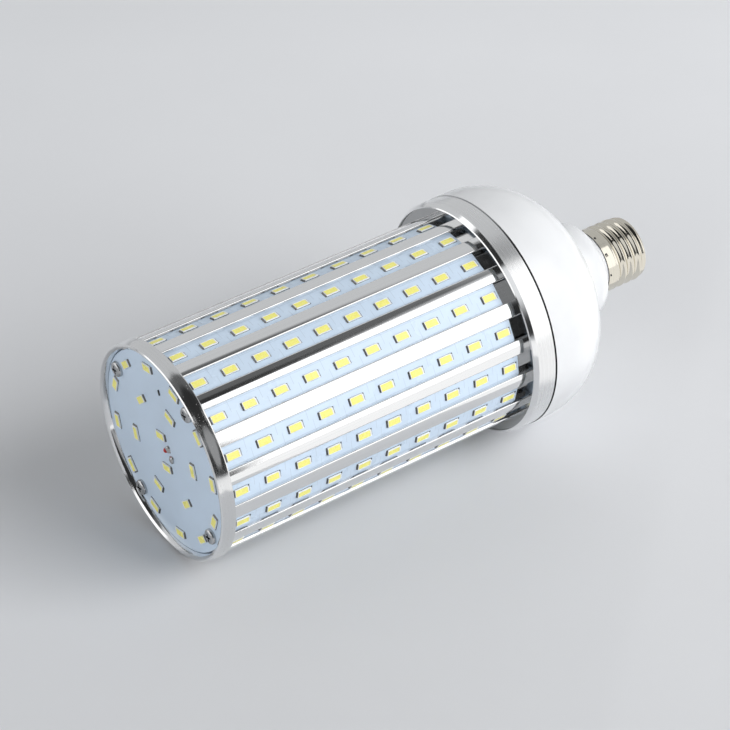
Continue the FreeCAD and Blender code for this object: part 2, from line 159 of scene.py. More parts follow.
class ChipSettings(bpy.types.PropertyGroup):
    """Sizes of one light chip and of the rows of chips."""

    chip_length: length("Length", "Chip's long side", 5.7 * MM)
    chip_width: length("Width", "Chip's short side", 3.0 * MM)
    chip_height: length("Height", "Chip's height above the board", 0.75 * MM)
    # The base band takes the dark tin: in part a lead frame, in part painted contact shadow along the chip's
    # foot
    base_height: length("Base height", "Dark lead frame under the white body", 0.22 * MM)
    edge_bevel: length("Edge bevel", "Bevel round the top of the body", 0.10 * MM)
    frame_width: length("Frame width", "White frame round the window", 0.24 * MM)
    window_slope: length("Window slope", "Width of the sloping wall round the window", 0.08 * MM)
    window_depth: length("Window depth", "How far the phosphor lies below the frame", 0.08 * MM)
    window_margin: length("Window margin", "Extra white frame at the end towards the cap", 0.3 * MM)
    notch: length("Notch", "Cut corner that marks the polarity", 0.5 * MM)
    terminal_length: length("Terminal length", "How far the soldered terminal stands out", 0.5 * MM)
    terminal_width: length("Terminal width", "Soldered terminal across the chip", 2.8 * MM)
    terminal_height: length("Terminal height", "Solder's height against the chip", 0.50 * MM)
    terminal_toe: length("Terminal toe", "Solder's height at its outer edge", 0.10 * MM)
    row_count: IntProperty(name="Chips in a row", description="Chips on each strip", default=10)
    end_counts: IntVectorProperty(
        name="End circles", description="Chips on each circle of the end board", default=(2, 6, 12), size=3
    )
    end_radii: triple(
        "End radii",
        "Radius of each circle of chips",
        (6.7 * MM, 20.4 * MM, 34.1 * MM),
        unit="LENGTH",
        precision=5,
    )
    end_angles: angles("End angles", "Angle of the first chip on each circle", 5.5, 35.5, 5.5)


class JointSettings(bpy.types.PropertyGroup):
    """The two soldered leads on the end board."""

    joint_radius: length("Joint radius", "Solder blob's radius on the board", 1.45 * MM)
    joint_height: length("Joint height", "Solder blob's height", 1.2 * MM)
    red_radius: length("Red place radius", "Red lead's distance from the axis", 4.3 * MM)
    red_angle: angle("Red place angle", "Red lead's angle about the axis", 62.0)
    black_radius: length("Black place radius", "Black lead's distance from the axis", 5.0 * MM)
    black_angle: angle("Black place angle", "Black lead's angle about the axis", 111.0)
    sleeve_radius: length("Sleeve radius", "Radius of the red lead's sleeve", 0.95 * MM)
    sleeve_length: length("Sleeve length", "Bare length of the red sleeve on the board", 2.7 * MM)
    sleeve_round: length("Sleeve round", "Rounded edge at the sleeve's tip", 0.54 * MM)
    sleeve_turn: angle("Sleeve turn", "Sleeve's direction on the board", -22.0)
    sleeve_lean: angle("Sleeve lean", "Sleeve's lean off the axis", -112.0)
    # A black block on the end board, a dark thing put as painted shade where the board has a slot
    slot_shade_x: length("Slot shade X", "Small dark link on the end board", 25.5 * MM)
    slot_shade_y: length("Slot shade Y", "Small dark link on the end board", 7.75 * MM)
    slot_shade_length: length("Slot shade length", "Long side of the link", 2.2 * MM)
    slot_shade_width: length("Slot shade width", "Short side of the link", 0.8 * MM)
    slot_shade_height: length("Slot shade height", "Height of the link above the board", 0.35 * MM)


class SinkSettings(bpy.types.PropertyGroup):
    """Form of the heat sink's ribs."""

    rib_width: length("Rib width", "Width of a rib's top", 5.9 * MM)
    crown_radius: length("Crown radius", "Radius of a rib's rounded top", 14.0 * MM)
    crown_depth: length("Crown depth", "Depth of the top edge that the crown takes in", 0.6 * MM)
    crown_cuts: IntProperty(name="Crown cuts", description="Lengthwise cuts in a rib's top", default=9)


class RingSettings(bpy.types.PropertyGroup):
    """Sizes of the turned end ring."""

    bore: length("Bore", "Radius of the seat round the end board", 39.4 * MM)
    flange: length("Flange", "Inner radius of the flange behind the board", 38.4 * MM)
    mouth: length("Mouth", "Radius at which the mouth opens", 40.9 * MM)
    mouth_step: length("Mouth step", "Gain in radius over the steep cone next to the board", 0.60 * MM)
    mouth_rise: length("Mouth rise", "Height of the flat cone at the mouth", 0.62 * MM)
    rim_flat: length("Rim flat", "Flat edge that the lamp stands on", 0.35 * MM)
    rim_cone: length("Rim cone", "Width of the bright cone outside the flat", 0.5 * MM)
    rim_rise: length("Rim rise", "Height of the bright cone", 0.33 * MM)
    edge_strip: length("Edge strip", "Width of the steeper strip along each edge of the band", 1.32 * MM)
    edge_rise: length("Edge rise", "Gain in radius over an edge strip", 0.12 * MM)
    back_round: length("Back round", "Rounded edge at the heat sink", 0.25 * MM)


class CollarSettings(bpy.types.PropertyGroup):
    """Sizes of the turned collar."""

    wall: length("Wall", "Thickness of the lip", 1.4 * MM)
    lip_flat: length("Lip edge", "Width of the lip's bright edge", 0.45 * MM)
    lip_rise: length("Lip rise", "Height of the lip's bright edge", 0.30 * MM)
    lip_cone: length("Lip cone", "Length of the lip up to the end of its cone", 1.7 * MM)
    floor: length("Floor", "Thickness of the floor that the ribs end on", 2.5 * MM)
    bore: length("Bore", "Radius of the hole for the leads", 16.0 * MM)


class CapSettings(bpy.types.PropertyGroup):
    """Sizes of the rolled screw cap."""

    skirt_radius: length("Skirt radius", "Plain skirt next to the neck", 13.1 * MM)
    crest_radius: length("Crest radius", "Top of the rolled thread", 13.05 * MM)
    root_radius: length("Root radius", "Bottom of the rolled thread", 12.05 * MM)
    pitch: length("Pitch", "Advance of the thread in one turn", 3.63 * MM)
    # The seam's faces are painted black: painted shade for the gap between the neck and the skirt
    seam_width: length("Seam width", "Dark cement line between the neck and the skirt", 2.2 * MM)
    seam_depth: length("Seam depth", "Depth of the cement line", 0.6 * MM)
    thread_start: length("Thread start", "Skirt's length before the thread", 5.9 * MM)
    end_side: length("End side", "Plain side beyond the thread", 1.5 * MM)
    end_round: length("End round", "Rounded edge at the cap's end", 1.4 * MM)
    mouth_radius: length("Mouth radius", "Opening that the insulator fills", 10.6 * MM)
    sheet: length("Sheet", "Thickness of the rolled sheet", 0.4 * MM)
    crimp_count: IntProperty(name="Crimps", description="Punched marks round the skirt", default=10)
    crimp_angle: angle("Crimp angle", "First punched mark's angle about the axis", 28.0)
    crimp_radius: length("Crimp radius", "Radius of a punched mark", 0.6 * MM)
    crimp_depth: length("Crimp depth", "Depth of a punched mark", 0.4 * MM)
    crimp_offset: length("Crimp offset", "Punched marks' distance from the skirt's edge", 3.1 * MM)


class FinishSettings(bpy.types.PropertyGroup):
    """Colours of the bulb's materials, and the painted shade in the parting line."""

    aluminium: colour("Aluminium", "Drawn and turned aluminium", (0.86, 0.865, 0.87))
    board: colour("Board", "White solder mask", (0.63, 0.755, 0.90))
    chip_body: colour("Chip body", "White chip moulding", (0.88, 0.89, 0.88))
    phosphor: colour("Phosphor", "Yellow phosphor under the window", (0.85, 0.83, 0.26))
    tin: colour("Tin", "Tinned terminals and solder", (0.70, 0.71, 0.72))
    plastic: colour("Housing", "Glossy white moulding", (0.80, 0.81, 0.825))
    nickel: colour("Nickel", "Nickel plate of the screw cap", (0.71, 0.675, 0.59))
    steel: colour("Steel", "Bright screws", (0.72, 0.73, 0.74))
    red: colour("Red sleeve", "Red lead", (0.55, 0.02, 0.015))
    black: colour("Black", "Black lead, moulding and glass", (0.016, 0.016, 0.018))
    white: colour("White sleeve", "Live and neutral leads", (0.80, 0.80, 0.78))
    laminate: colour("Laminate", "Driver board", (0.42, 0.30, 0.11))
    tape: colour("Tape", "Tape round the transformer's winding", (0.72, 0.50, 0.05))
    can_sleeve: colour("Can sleeve", "Sleeve of the driver's capacitors", (0.02, 0.03, 0.06))
    # The housing's parting line is a groove next to the collar, with painted shade over this width; it is
    # full on the side at the angle below, where the groove lies in shade, and faint elsewhere
    parting_shade_width: length("Parting shade width", "Width of the housing's line next to the collar", 0.62 * MM)
    parting_shade_angle: angle("Parting shade angle", "Side where the parting line is sealed and dark", 105.0)


class StageSettings(bpy.types.PropertyGroup):
    """Camera, floor and lamps."""

    camera_place: triple(
        "Camera place",
        "Where the camera stands",
        (0.375584, 0.788508, -0.339970),
        subtype="TRANSLATION",
        unit="LENGTH",
        precision=5,
    )
    camera_turn: angles("Camera turn", "Camera's rotation", 140.406, -55.103, 109.718)
    lens: number("Lens", "Focal length in millimetres on a 36 mm sensor", 129.204)
    lie_angle: angle("Lie angle", "Side of the bulb that lies on the floor", 197.0)
    floor_size: length("Floor size", "Side of the floor", 6.0)
    floor_shade: colour("Floor shade", "Pale floor", (0.765, 0.775, 0.795))
    # Painted light: the floor is painted paler from near to far, standing for the falloff of the lamps'
    # light
    floor_near: length("Floor near", "Where the floor begins to grow paler, along the view", -0.12)
    floor_far: length("Floor far", "Where the floor is palest, along the view", 0.36)
    floor_painted_falloff: number("Floor painted falloff", "How much the floor's shade drifts from near to far", 0.14)
    shelf_shade: colour("Shelf shade", "Pale shelf under a standing bulb", (0.72, 0.74, 0.77))
    key_bearing: angle("Key bearing", "Main light, to the right of straight ahead", 112.0)
    key_rise: angle("Key rise", "Main light's angle above the floor", 33.0)
    key_distance: length("Key distance", "Main light's distance", 1.75)
    key_size: length("Key size", "Main light's side", 1.3)
    key_power: power("Key power", "Main light's power", 30.0)
    fill_bearing: angle("Fill bearing", "Left light, to the right of straight ahead", -125.0)
    fill_rise: angle("Fill rise", "Left light's angle above the floor", 10.0)
    fill_distance: length("Fill distance", "Left light's distance", 1.4)
    fill_size: length("Fill size", "Left light's side", 1.2)
    fill_power: power("Fill power", "Left light's power", 5.4)
    card_bearing: angle("Card bearing", "Bright card at the right", 104.0)
    card_distance: length("Card distance", "Bright cards' distance", 1.85)
    card_width: length("Card width", "Width of the card at the right", 1.45)
    card_height: length("Card height", "Height of the card at the right", 3.15)
    card_glow: number("Card glow", "Brightness of the card at the right in reflections", 1.5)
    side_bearing: angle("Side bearing", "Bright card at the left", -96.0)
    side_width: length("Side width", "Width of the card at the left", 2.6)
    side_height: length("Side height", "Height of the card at the left", 2.3)
    side_glow: number("Side glow", "Brightness of the card at the left in reflections", 1.3)
    side_foot: length("Side foot", "Height of the left card's lower edge above the floor", 0.15)
    bounce_size: length("Bounce size", "Side of the lit floor at the right", 1.42)
    bounce_distance: length("Bounce distance", "Distance to the middle of the lit floor", 0.81)
    bounce_lift: length("Bounce lift", "Height of the lit floor over the pale floor", 0.002)
    bounce_glow: number("Bounce glow", "Brightness of the lit floor at the right in reflections", 1.05)
    wall_glow: number("Wall glow", "Brightness of the grey walls", 0.62)
    room_glow: number("Room glow", "Brightness of the room behind the camera at the right", 0.36)
    window_glow: number("Window glow", "Brightness of the room behind the camera at the left", 0.9)
    ceiling_glow: number("Ceiling glow", "Brightness of the dim ceiling", 0.13)
    ceiling_lean: angle("Ceiling lean", "How far the dim ceiling comes down above the right card", 8.0)
    dark_glow: number("Dark glow", "Brightness of the dark gaps between lights", 0.03)
    backdrop_glow: number("Backdrop glow", "Brightness behind the floor to the camera", 0.72)
    backdrop_shade: colour("Backdrop shade", "Slightly cool white of the studio", (0.97, 0.985, 1.0))


GROUPS = (
    ChipSettings,
    JointSettings,
    SinkSettings,
    RingSettings,
    CollarSettings,
    CapSettings,
    FinishSettings,
    StageSettings,
)


class BulbSettings(bpy.types.PropertyGroup):
    """All settings of the bulb."""

    chips: PointerProperty(type=ChipSettings)
    joints: PointerProperty(type=JointSettings)
    sink: PointerProperty(type=SinkSettings)
    ring: PointerProperty(type=RingSettings)
    collar: PointerProperty(type=CollarSettings)
    cap: PointerProperty(type=CapSettings)
    finish: PointerProperty(type=FinishSettings)
    stage: PointerProperty(type=StageSettings)


def settings():
    """The bulb's settings on the current scene."""
    return bpy.context.scene.bulb


# Shader node helpers


def add(tree, kind, **values):
    """A new node of that kind, with its own options set."""
    node = tree.nodes.new(kind)
    for key, value in values.items():
        setattr(node, key, value)
    return node


def join(tree, source, target):
    """A link between two sockets."""
    tree.links.new(source, target)


def feed(tree, source, target):
    """Links a socket to an input, or sets a plain value on it."""
    if isinstance(source, bpy.types.NodeSocket):
        join(tree, source, target)
    else:
        target.default_value = source


def maths(tree, operation, *terms):
    """A Math node's output. A term is a number or a socket."""
    node = add(tree, "ShaderNodeMath", operation=operation)
    for slot, term in zip(node.inputs, terms):
        feed(tree, term, slot)
    return node.outputs[0]


def spread(tree, value, low, high, to_low=0.0, to_high=1.0, smooth=True):
    """A value mapped from one range to another and held inside it."""
    node = add(tree, "ShaderNodeMapRange", interpolation_type="SMOOTHSTEP" if smooth else "LINEAR")
    join(tree, value, node.inputs["Value"])
    for name, limit in (("From Min", low), ("From Max", high), ("To Min", to_low), ("To Max", to_high)):
        node.inputs[name].default_value = limit
    return node.outputs["Result"]


def blend(tree, factor, first, second):
    """A colour between two colours."""
    node = add(tree, "ShaderNodeMix", data_type="RGBA")
    join(tree, factor, node.inputs["Factor"])
    for slot, shade in ((node.inputs["A"], first), (node.inputs["B"], second)):
        feed(tree, shade if isinstance(shade, bpy.types.NodeSocket) else (*shade, 1.0), slot)
    return node.outputs["Result"]


def tint(shade, factor):
    """A colour made lighter or darker."""
    return tuple(min(1.0, part * factor) for part in shade)


def drift(tree, factor, shade, low, high):
    """A colour that drifts between two tints of it."""
    return blend(tree, factor, tint(shade, low), tint(shade, high))


def place_in(tree):
    """A surface's place in the bulb's frame."""
    return add(tree, "ShaderNodeTexCoord").outputs["Object"]


def place_parts(tree):
    """X, Y and Z of a surface's place in the bulb's frame."""
    split = add(tree, "ShaderNodeSeparateXYZ")
    join(tree, place_in(tree), split.inputs[0])
    return split.outputs


def along(tree, place, axis):
    """How far a place or a direction reaches along an axis."""
    node = add(tree, "ShaderNodeVectorMath", operation="DOT_PRODUCT")
    join(tree, place, node.inputs[0])
    node.inputs[1].default_value = axis
    return node.outputs["Value"]


def noise(tree, place, scale=1.0, detail=3.0, **options):
    """A noise node at a place."""
    node = add(tree, "ShaderNodeTexNoise", **options)
    join(tree, place, node.inputs["Vector"])
    feed(tree, scale, node.inputs["Scale"])
    node.inputs["Detail"].default_value = detail
    return node


def new_group(name, inputs, output):
    """An empty shader node group with number sockets, and its two end nodes."""
    group = bpy.data.node_groups.new(name, "ShaderNodeTree")
    for label, default in inputs:
        slot = group.interface.new_socket(label, in_out="INPUT", socket_type="NodeSocketFloat")
        slot.default_value = default
    group.interface.new_socket(output, in_out="OUTPUT", socket_type="NodeSocketFloat")
    return group, add(group, "NodeGroupInput"), add(group, "NodeGroupOutput")


def drawn_lines_group():
    """Die lines that run along the axis."""
    group, given, out = new_group("Drawn lines", (("Across", 3000.0), ("Along", 12.0)), "Lines")
    scale = add(group, "ShaderNodeCombineXYZ")
    for part, source in (("X", "Across"), ("Y", "Across"), ("Z", "Along")):
        join(group, given.outputs[source], scale.inputs[part])
    place = add(group, "ShaderNodeVectorMath", operation="MULTIPLY")
    join(group, place_in(group), place.inputs[0])
    join(group, scale.outputs[0], place.inputs[1])
    join(group, noise(group, place.outputs[0]).outputs["Fac"], out.inputs["Lines"])
    return group


def turned_lines_group():
    """Tool lines that run round the axis."""
    group, given, out = new_group("Turned lines", (("Radial", 4000.0), ("Axial", 4000.0)), "Lines")
    x, y, z = place_parts(group)
    flat = add(group, "ShaderNodeCombineXYZ")
    join(group, x, flat.inputs["X"])
    join(group, y, flat.inputs["Y"])
    radius = add(group, "ShaderNodeVectorMath", operation="LENGTH")
    join(group, flat.outputs[0], radius.inputs[0])
    place = add(group, "ShaderNodeCombineXYZ")
    outward = maths(group, "MULTIPLY", radius.outputs["Value"], given.outputs["Radial"])
    join(group, outward, place.inputs["X"])
    join(group, maths(group, "MULTIPLY", z, given.outputs["Axial"]), place.inputs["Y"])
    pattern = noise(group, place.outputs[0], noise_dimensions="2D")
    join(group, pattern.outputs["Fac"], out.inputs["Lines"])
    return group


def marks_group():
    """Soft patches from handling and uneven gloss."""
    group, given, out = new_group("Handling marks", (("Scale", 80.0),), "Marks")
    pattern = noise(group, place_in(group), given.outputs["Scale"], detail=5.0)
    pattern.inputs["Roughness"].default_value = 0.55
    join(group, spread(group, pattern.outputs["Fac"], *MARKS_RANGE), out.inputs["Marks"])
    return group


def grain_group():
    """Fine even grain."""
    group, given, out = new_group("Fine grain", (("Scale", 3000.0),), "Grain")
    pattern = noise(group, place_in(group), given.outputs["Scale"], detail=2.0)
    join(group, pattern.outputs["Fac"], out.inputs["Grain"])
    return group


def tracks_group():
    """Edges of the copper tracks under a strip's white mask."""
    chips = settings().chips
    first = CHIPS_LOW.z + chips.chip_length / 2
    pitch = (CHIPS_HIGH.z - CHIPS_LOW.z - chips.chip_length) / (chips.row_count - 1)
    step = math.tau / len(STRIP_NAMES)
    sizes = (("Line", 0.09 * MM), ("Jog", 0.9 * MM), ("Side", 3.7 * MM))
    group, given, out = new_group("Strip tracks", sizes, "Tracks")
    x, y, z = place_parts(group)
    turn = maths(group, "ROUND", maths(group, "DIVIDE", maths(group, "ARCTAN2", y, x), step))
    turn = maths(group, "MULTIPLY", turn, step)
    ahead = maths(group, "MULTIPLY", y, maths(group, "COSINE", turn))
    across = maths(group, "SUBTRACT", ahead, maths(group, "MULTIPLY", x, maths(group, "SINE", turn)))
    row = maths(group, "FRACT", maths(group, "DIVIDE", maths(group, "SUBTRACT", z, first), pitch))
    middle = maths(group, "MULTIPLY", maths(group, "SUBTRACT", row, 0.5), pitch)
    jog = maths(group, "MULTIPLY", maths(group, "SIGN", across), given.outputs["Jog"])
    crossing = maths(group, "ABSOLUTE", maths(group, "SUBTRACT", middle, jog))
    side = maths(group, "SUBTRACT", maths(group, "ABSOLUTE", across), given.outputs["Side"])
    nearest = maths(group, "MINIMUM", crossing, maths(group, "ABSOLUTE", side))
    nearest = maths(group, "DIVIDE", nearest, given.outputs["Line"])
    join(group, spread(group, nearest, *TRACKS_RANGE, 1.0, 0.0), out.inputs["Tracks"])
    return group


def specks_group():
    """Scattered specks of dust."""
    group, given, out = new_group("Dust specks", (("Scale", 1300.0), ("Share", 0.3)), "Specks")
    cells = add(group, "ShaderNodeTexVoronoi")
    join(group, place_in(group), cells.inputs["Vector"])
    join(group, given.outputs["Scale"], cells.inputs["Scale"])
    split = add(group, "ShaderNodeSeparateColor")
    join(group, cells.outputs["Color"], split.inputs[0])
    chosen = maths(group, "LESS_THAN", split.outputs[0], given.outputs["Share"])
    dot = spread(group, cells.outputs["Distance"], *SPECKS_RANGE, 1.0, 0.0)
    join(group, maths(group, "MULTIPLY", chosen, dot), out.inputs["Specks"])
    return group


EFFECT_MAKERS = {
    "lines": drawn_lines_group,
    "turning": turned_lines_group,
    "marks": marks_group,
    "grain": grain_group,
    "tracks": tracks_group,
    "specks": specks_group,
}
EFFECTS = {}


def effect(tree, name, **values):
    """A shared effect's output, placed in a material with its own values."""
    if name not in EFFECTS:
        EFFECTS[name] = EFFECT_MAKERS[name]()
    node = add(tree, "ShaderNodeGroup", node_tree=EFFECTS[name])
    for key, value in values.items():
        node.inputs[key].default_value = value
    return node.outputs[0]


def new_material(name, **uniform):
    """A material with a Principled shader and uniform values on its own sockets."""
    material = bpy.data.materials.new(name)
    material.use_nodes = True
    tree = material.node_tree
    shader = tree.nodes["Principled BSDF"]
    for key, value in uniform.items():
        shader.inputs[key.replace("_", " ")].default_value = value
    return material, tree, shader


def raise_surface(tree, shader, height, depth, strength):
    """Bump on a shader from a height, with its depth in millimetres."""
    bump = add(tree, "ShaderNodeBump")
    bump.inputs["Strength"].default_value = strength
    bump.inputs["Distance"].default_value = depth * MM
    join(tree, height, bump.inputs["Height"])
    join(tree, bump.outputs["Normal"], shader.inputs["Normal"])


# Bare metals: colour and its tint, kind of lines, their density each way, roughness from and to, and the
# lines' depth in millimetres and strength
METALS = {
    "drawn aluminium": ("aluminium", 1.0, "lines", (2600.0, 9.0), (0.06, 0.11), (0.02, 0.05)),
    "turned aluminium": ("aluminium", 1.0, "turning", (5000.0, 5000.0), (0.07, 0.13), (0.02, 0.05)),
    "dusty aluminium": ("aluminium", 0.9, "turning", (5000.0, 5000.0), (0.10, 0.18), (0.02, 0.08)),
    "satin aluminium": ("aluminium", 1.0, "turning", (3000.0, 3000.0), (0.30, 0.42), (0.03, 0.1)),
    "brushed aluminium": ("aluminium", 0.97, "turning", (2500.0, 2500.0), (0.20, 0.30), (0.03, 0.12)),
    # A darker aluminium on the collar's floor: in part the cut metal, in part painted shade in the recess at
    # the ribs' ends
    "grey aluminium": ("aluminium", 0.6, "turning", (3000.0, 3000.0), (0.10, 0.16), (0.03, 0.08)),
    "nickel plate": ("nickel", 1.0, "turning", (2500.0, 2500.0), (0.06, 0.12), (0.02, 0.04)),
    "bright steel": ("steel", 0.7, "lines", (1500.0, 1500.0), (0.07, 0.14), (0.02, 0.06)),
    "soft solder": ("tin", 0.62, "lines", (900.0, 900.0), (0.06, 0.12), (0.2, 0.35)),
    "tinned metal": ("tin", 1.0, "lines", (1800.0, 1800.0), (0.10, 0.20), (0.06, 0.12)),
    # Dark tin on the chips' terminals, base and notch: painted shade and painted dark reflection over tin
    "dark terminals": ("tin", 0.22, "lines", (1800.0, 1800.0), (0.22, 0.36), (0.04, 0.12)),
}
LINE_WAYS = {"lines": ("Across", "Along"), "turning": ("Radial", "Axial")}

# Moulded and coated surfaces: colour, roughness from and to, the grain's density, and its depth in
# millimetres and strength
SURFACES = {
    "glossy housing": ("plastic", (0.10, 0.17), 900.0, (0.02, 0.05)),
    "end board mask": ("board", (0.28, 0.40), 2500.0, (0.02, 0.1)),
    "chip body": ("chip_body", (0.35, 0.48), 6000.0, (0.02, 0.1)),
    "dark insulator": ("black", (0.12, 0.25), 1500.0, (0.03, 0.1)),
    "driver laminate": ("laminate", (0.4, 0.55), 2500.0, (0.03, 0.2)),
    "winding tape": ("tape", (0.25, 0.4), 1200.0, (0.04, 0.2)),
    "capacitor sleeve": ("can_sleeve", (0.2, 0.35), 1500.0, (0.03, 0.1)),
    "black moulding": ("black", (0.35, 0.5), 3000.0, (0.03, 0.2)),
    "red sleeve": ("red", (0.3, 0.42), 2500.0, (0.03, 0.1)),
    "black sleeve": ("black", (0.3, 0.42), 2500.0, (0.03, 0.1)),
    "white sleeve": ("white", (0.3, 0.42), 2500.0, (0.03, 0.1)),
}


def metal(name, metallic=1.0):
    """Bare metal: tool or die lines in its colour, gloss and surface, and soft handling marks."""
    shade, factor, lines, density, (low, high), (depth, strength) = METALS[name]
    shade = tint(getattr(settings().finish, shade), factor)
    material, tree, shader = new_material(name.capitalize(), Metallic=metallic)
    pattern = effect(tree, lines, **dict(zip(LINE_WAYS[lines], density)))
    marks = effect(tree, "marks", Scale=70.0)
    join(tree, drift(tree, pattern, shade, *METAL_DRIFT), shader.inputs["Base Color"])
    half = (high - low) / 2
    gloss = spread(tree, pattern, *LINES_RANGE, low, low + half)
    join(tree, maths(tree, "MULTIPLY_ADD", marks, half, gloss), shader.inputs["Roughness"])
    raise_surface(tree, shader, pattern, depth, strength)
    return material


def smooth_surface(name):
    """A moulded or coated surface: slight colour drift, uneven gloss and fine grain."""
    shade, (low, high), density, (depth, strength) = SURFACES[name]
    shade = getattr(settings().finish, shade)
    material, tree, shader = new_material(name.capitalize())
    marks = effect(tree, "marks", Scale=45.0)
    grain = effect(tree, "grain", Scale=density)
    join(tree, drift(tree, marks, shade, *SURFACE_DRIFT), shader.inputs["Base Color"])
    join(tree, spread(tree, marks, 0.0, 1.0, low, high), shader.inputs["Roughness"])
    raise_surface(tree, shader, grain, depth, strength)
    return material


def dusty_aluminium():
    """The end ring's outer band, turned metal with specks of dust."""
    material = metal("dusty aluminium")
    tree = material.node_tree
    specks = effect(tree, "specks", Scale=1300.0, Share=0.25)
    bare = maths(tree, "SUBTRACT", 1.0, maths(tree, "MULTIPLY", specks, SPECK_COVER))
    join(tree, bare, tree.nodes["Principled BSDF"].inputs["Metallic"])
    return material


def satin_aluminium():
    """The collar's inner wall, a fine cut that scatters light."""
    return metal("satin aluminium", metallic=0.45)


def glossy_housing():
    """Glossy white moulding, with painted shade in the parting line next to the collar, darkest on one side.
    """
    shades = settings().finish
    material = smooth_surface("glossy housing")
    tree = material.node_tree
    base = tree.nodes["Principled BSDF"].inputs["Base Color"]
    place = place_in(tree)
    line_top = COLLAR_HIGH.z + shades.parting_shade_width
    parting = spread(tree, along(tree, place, (0.0, 0.0, 1.0)), line_top, line_top + NEAR, 1.0, 0.0)
    parting_shade_side = (math.cos(shades.parting_shade_angle), math.sin(shades.parting_shade_angle), 0.0)
    begins, full = (share * HOUSING_HIGH.x for share in PARTING_SHADE_REACH)
    # Painted shade in the parting line: full on the shaded side, weaker where light falls into the groove
    painted_shade = spread(tree, along(tree, place, parting_shade_side), begins, full, PARTING_SHADE_LEAST, 1.0)
    parting = maths(tree, "MULTIPLY", parting, painted_shade)
    white = base.links[0].from_socket
    join(tree, blend(tree, parting, white, tint(shades.black, PARTING_SHADE_TINT)), base)
    return material


def strip_mask():
    """White mask of a light strip, with the tracks under it just showing."""
    shade = settings().finish.board
    material, tree, shader = new_material("Strip mask", IOR=1.5)
    marks = effect(tree, "marks", Scale=60.0)
    tracks = effect(tree, "tracks")
    ground = drift(tree, marks, shade, *MASK_DRIFT)
    join(tree, blend(tree, tracks, ground, tint(shade, TRACK_TINT)), shader.inputs["Base Color"])
    join(tree, spread(tree, marks, 0.0, 1.0, *MASK_ROUGHNESS), shader.inputs["Roughness"])
    raise_surface(tree, shader, tracks, depth=0.03, strength=0.5)
    return material


def yellow_phosphor():
    """Phosphor under a chip's clear window; a faint painted glow in its own colour stands for its return of
    blue light as yellow.
    """
    shade = settings().finish.phosphor
    # Painted glow: a faint emission in the phosphor's own colour, though the chip gives no light
    material, tree, shader = new_material("Yellow phosphor", IOR=1.45, Emission_Strength=0.10)
    grain = effect(tree, "grain", Scale=2600.0)
    marks = effect(tree, "marks", Scale=150.0)
    deep = tuple(part * factor for part, factor in zip(shade, PHOSPHOR_DEEP))
    ground = blend(tree, spread(tree, grain, *GRAINS_RANGE), deep, shade)
    join(tree, ground, shader.inputs["Base Color"])
    join(tree, ground, shader.inputs["Emission Color"])
    join(tree, spread(tree, marks, 0.0, 1.0, *WINDOW_ROUGHNESS), shader.inputs["Roughness"])
    raise_surface(tree, shader, grain, depth=0.03, strength=0.15)
    return material


SPECIAL_FINISHES = {
    "dusty aluminium": dusty_aluminium,
    "satin aluminium": satin_aluminium,
    "glossy housing": glossy_housing,
    "strip mask": strip_mask,
    "yellow phosphor": yellow_phosphor,
}
FINISHES = {}


def finish(name):
    """A finish by name, made once."""
    if name not in FINISHES:
        if name in SPECIAL_FINISHES:
            FINISHES[name] = SPECIAL_FINISHES[name]()
        else:
            FINISHES[name] = metal(name) if name in METALS else smooth_surface(name)
    return FINISHES[name]


def dress(nodes, name):
    """Gives CAD nodes a finish."""
    for node in nodes:
        mesh = NODES[node].data
        mesh.materials.clear()
        mesh.materials.append(finish(name))


# Mesh helpers


def smooth_under(bm, degrees):
    """Shades faces smooth, with the edges over that angle kept sharp."""
    limit = math.radians(degrees)
    for face in bm.faces:
        face.smooth = True
    for edge in bm.edges:
        edge.smooth = edge.calc_face_angle(0.0) < limit


def new_mesh(name, bm):
    """A mesh from a bmesh, which is used up."""
    mesh = bpy.data.meshes.new(name)
    bm.to_mesh(mesh)
    bm.free()
    return mesh


def new_object(name, data):
    """An object linked to the scene."""
    made = bpy.data.objects.new(name, data)
    bpy.context.scene.collection.objects.link(made)
    return made


def new_piece(name, bm, finishes, nodes=()):
    """A piece from a bmesh, riding on the bulb's body and standing for the given CAD nodes."""
    piece = new_object(name, new_mesh(name, bm))
    for finish_name in finishes:
        piece.data.materials.append(finish(finish_name))
    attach(piece, "root")
    if nodes:
        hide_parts(*nodes)
    return piece


def everything(bm):
    """All points, edges and faces of a bmesh."""
    return bm.verts[:] + bm.edges[:] + bm.faces[:]


def top_face(bm):
    """The face with the highest middle."""
    return max(bm.faces, key=lambda face: face.calc_center_median().z)


def block(bm, size, middle):
    """Adds a block of that size about a point, and gives its corners."""
    made = bmesh.ops.create_cube(bm, size=1.0)["verts"]
    bmesh.ops.scale(bm, vec=size, verts=made)
    bmesh.ops.translate(bm, vec=middle, verts=made)
    return made


def bevel(bm, edges, width, segments=1):
    """Cuts edges flat, or round where there are more segments."""
    bmesh.ops.bevel(
        bm, geom=edges, offset=width, affect="EDGES", segments=segments, profile=0.5, material=-1
    )


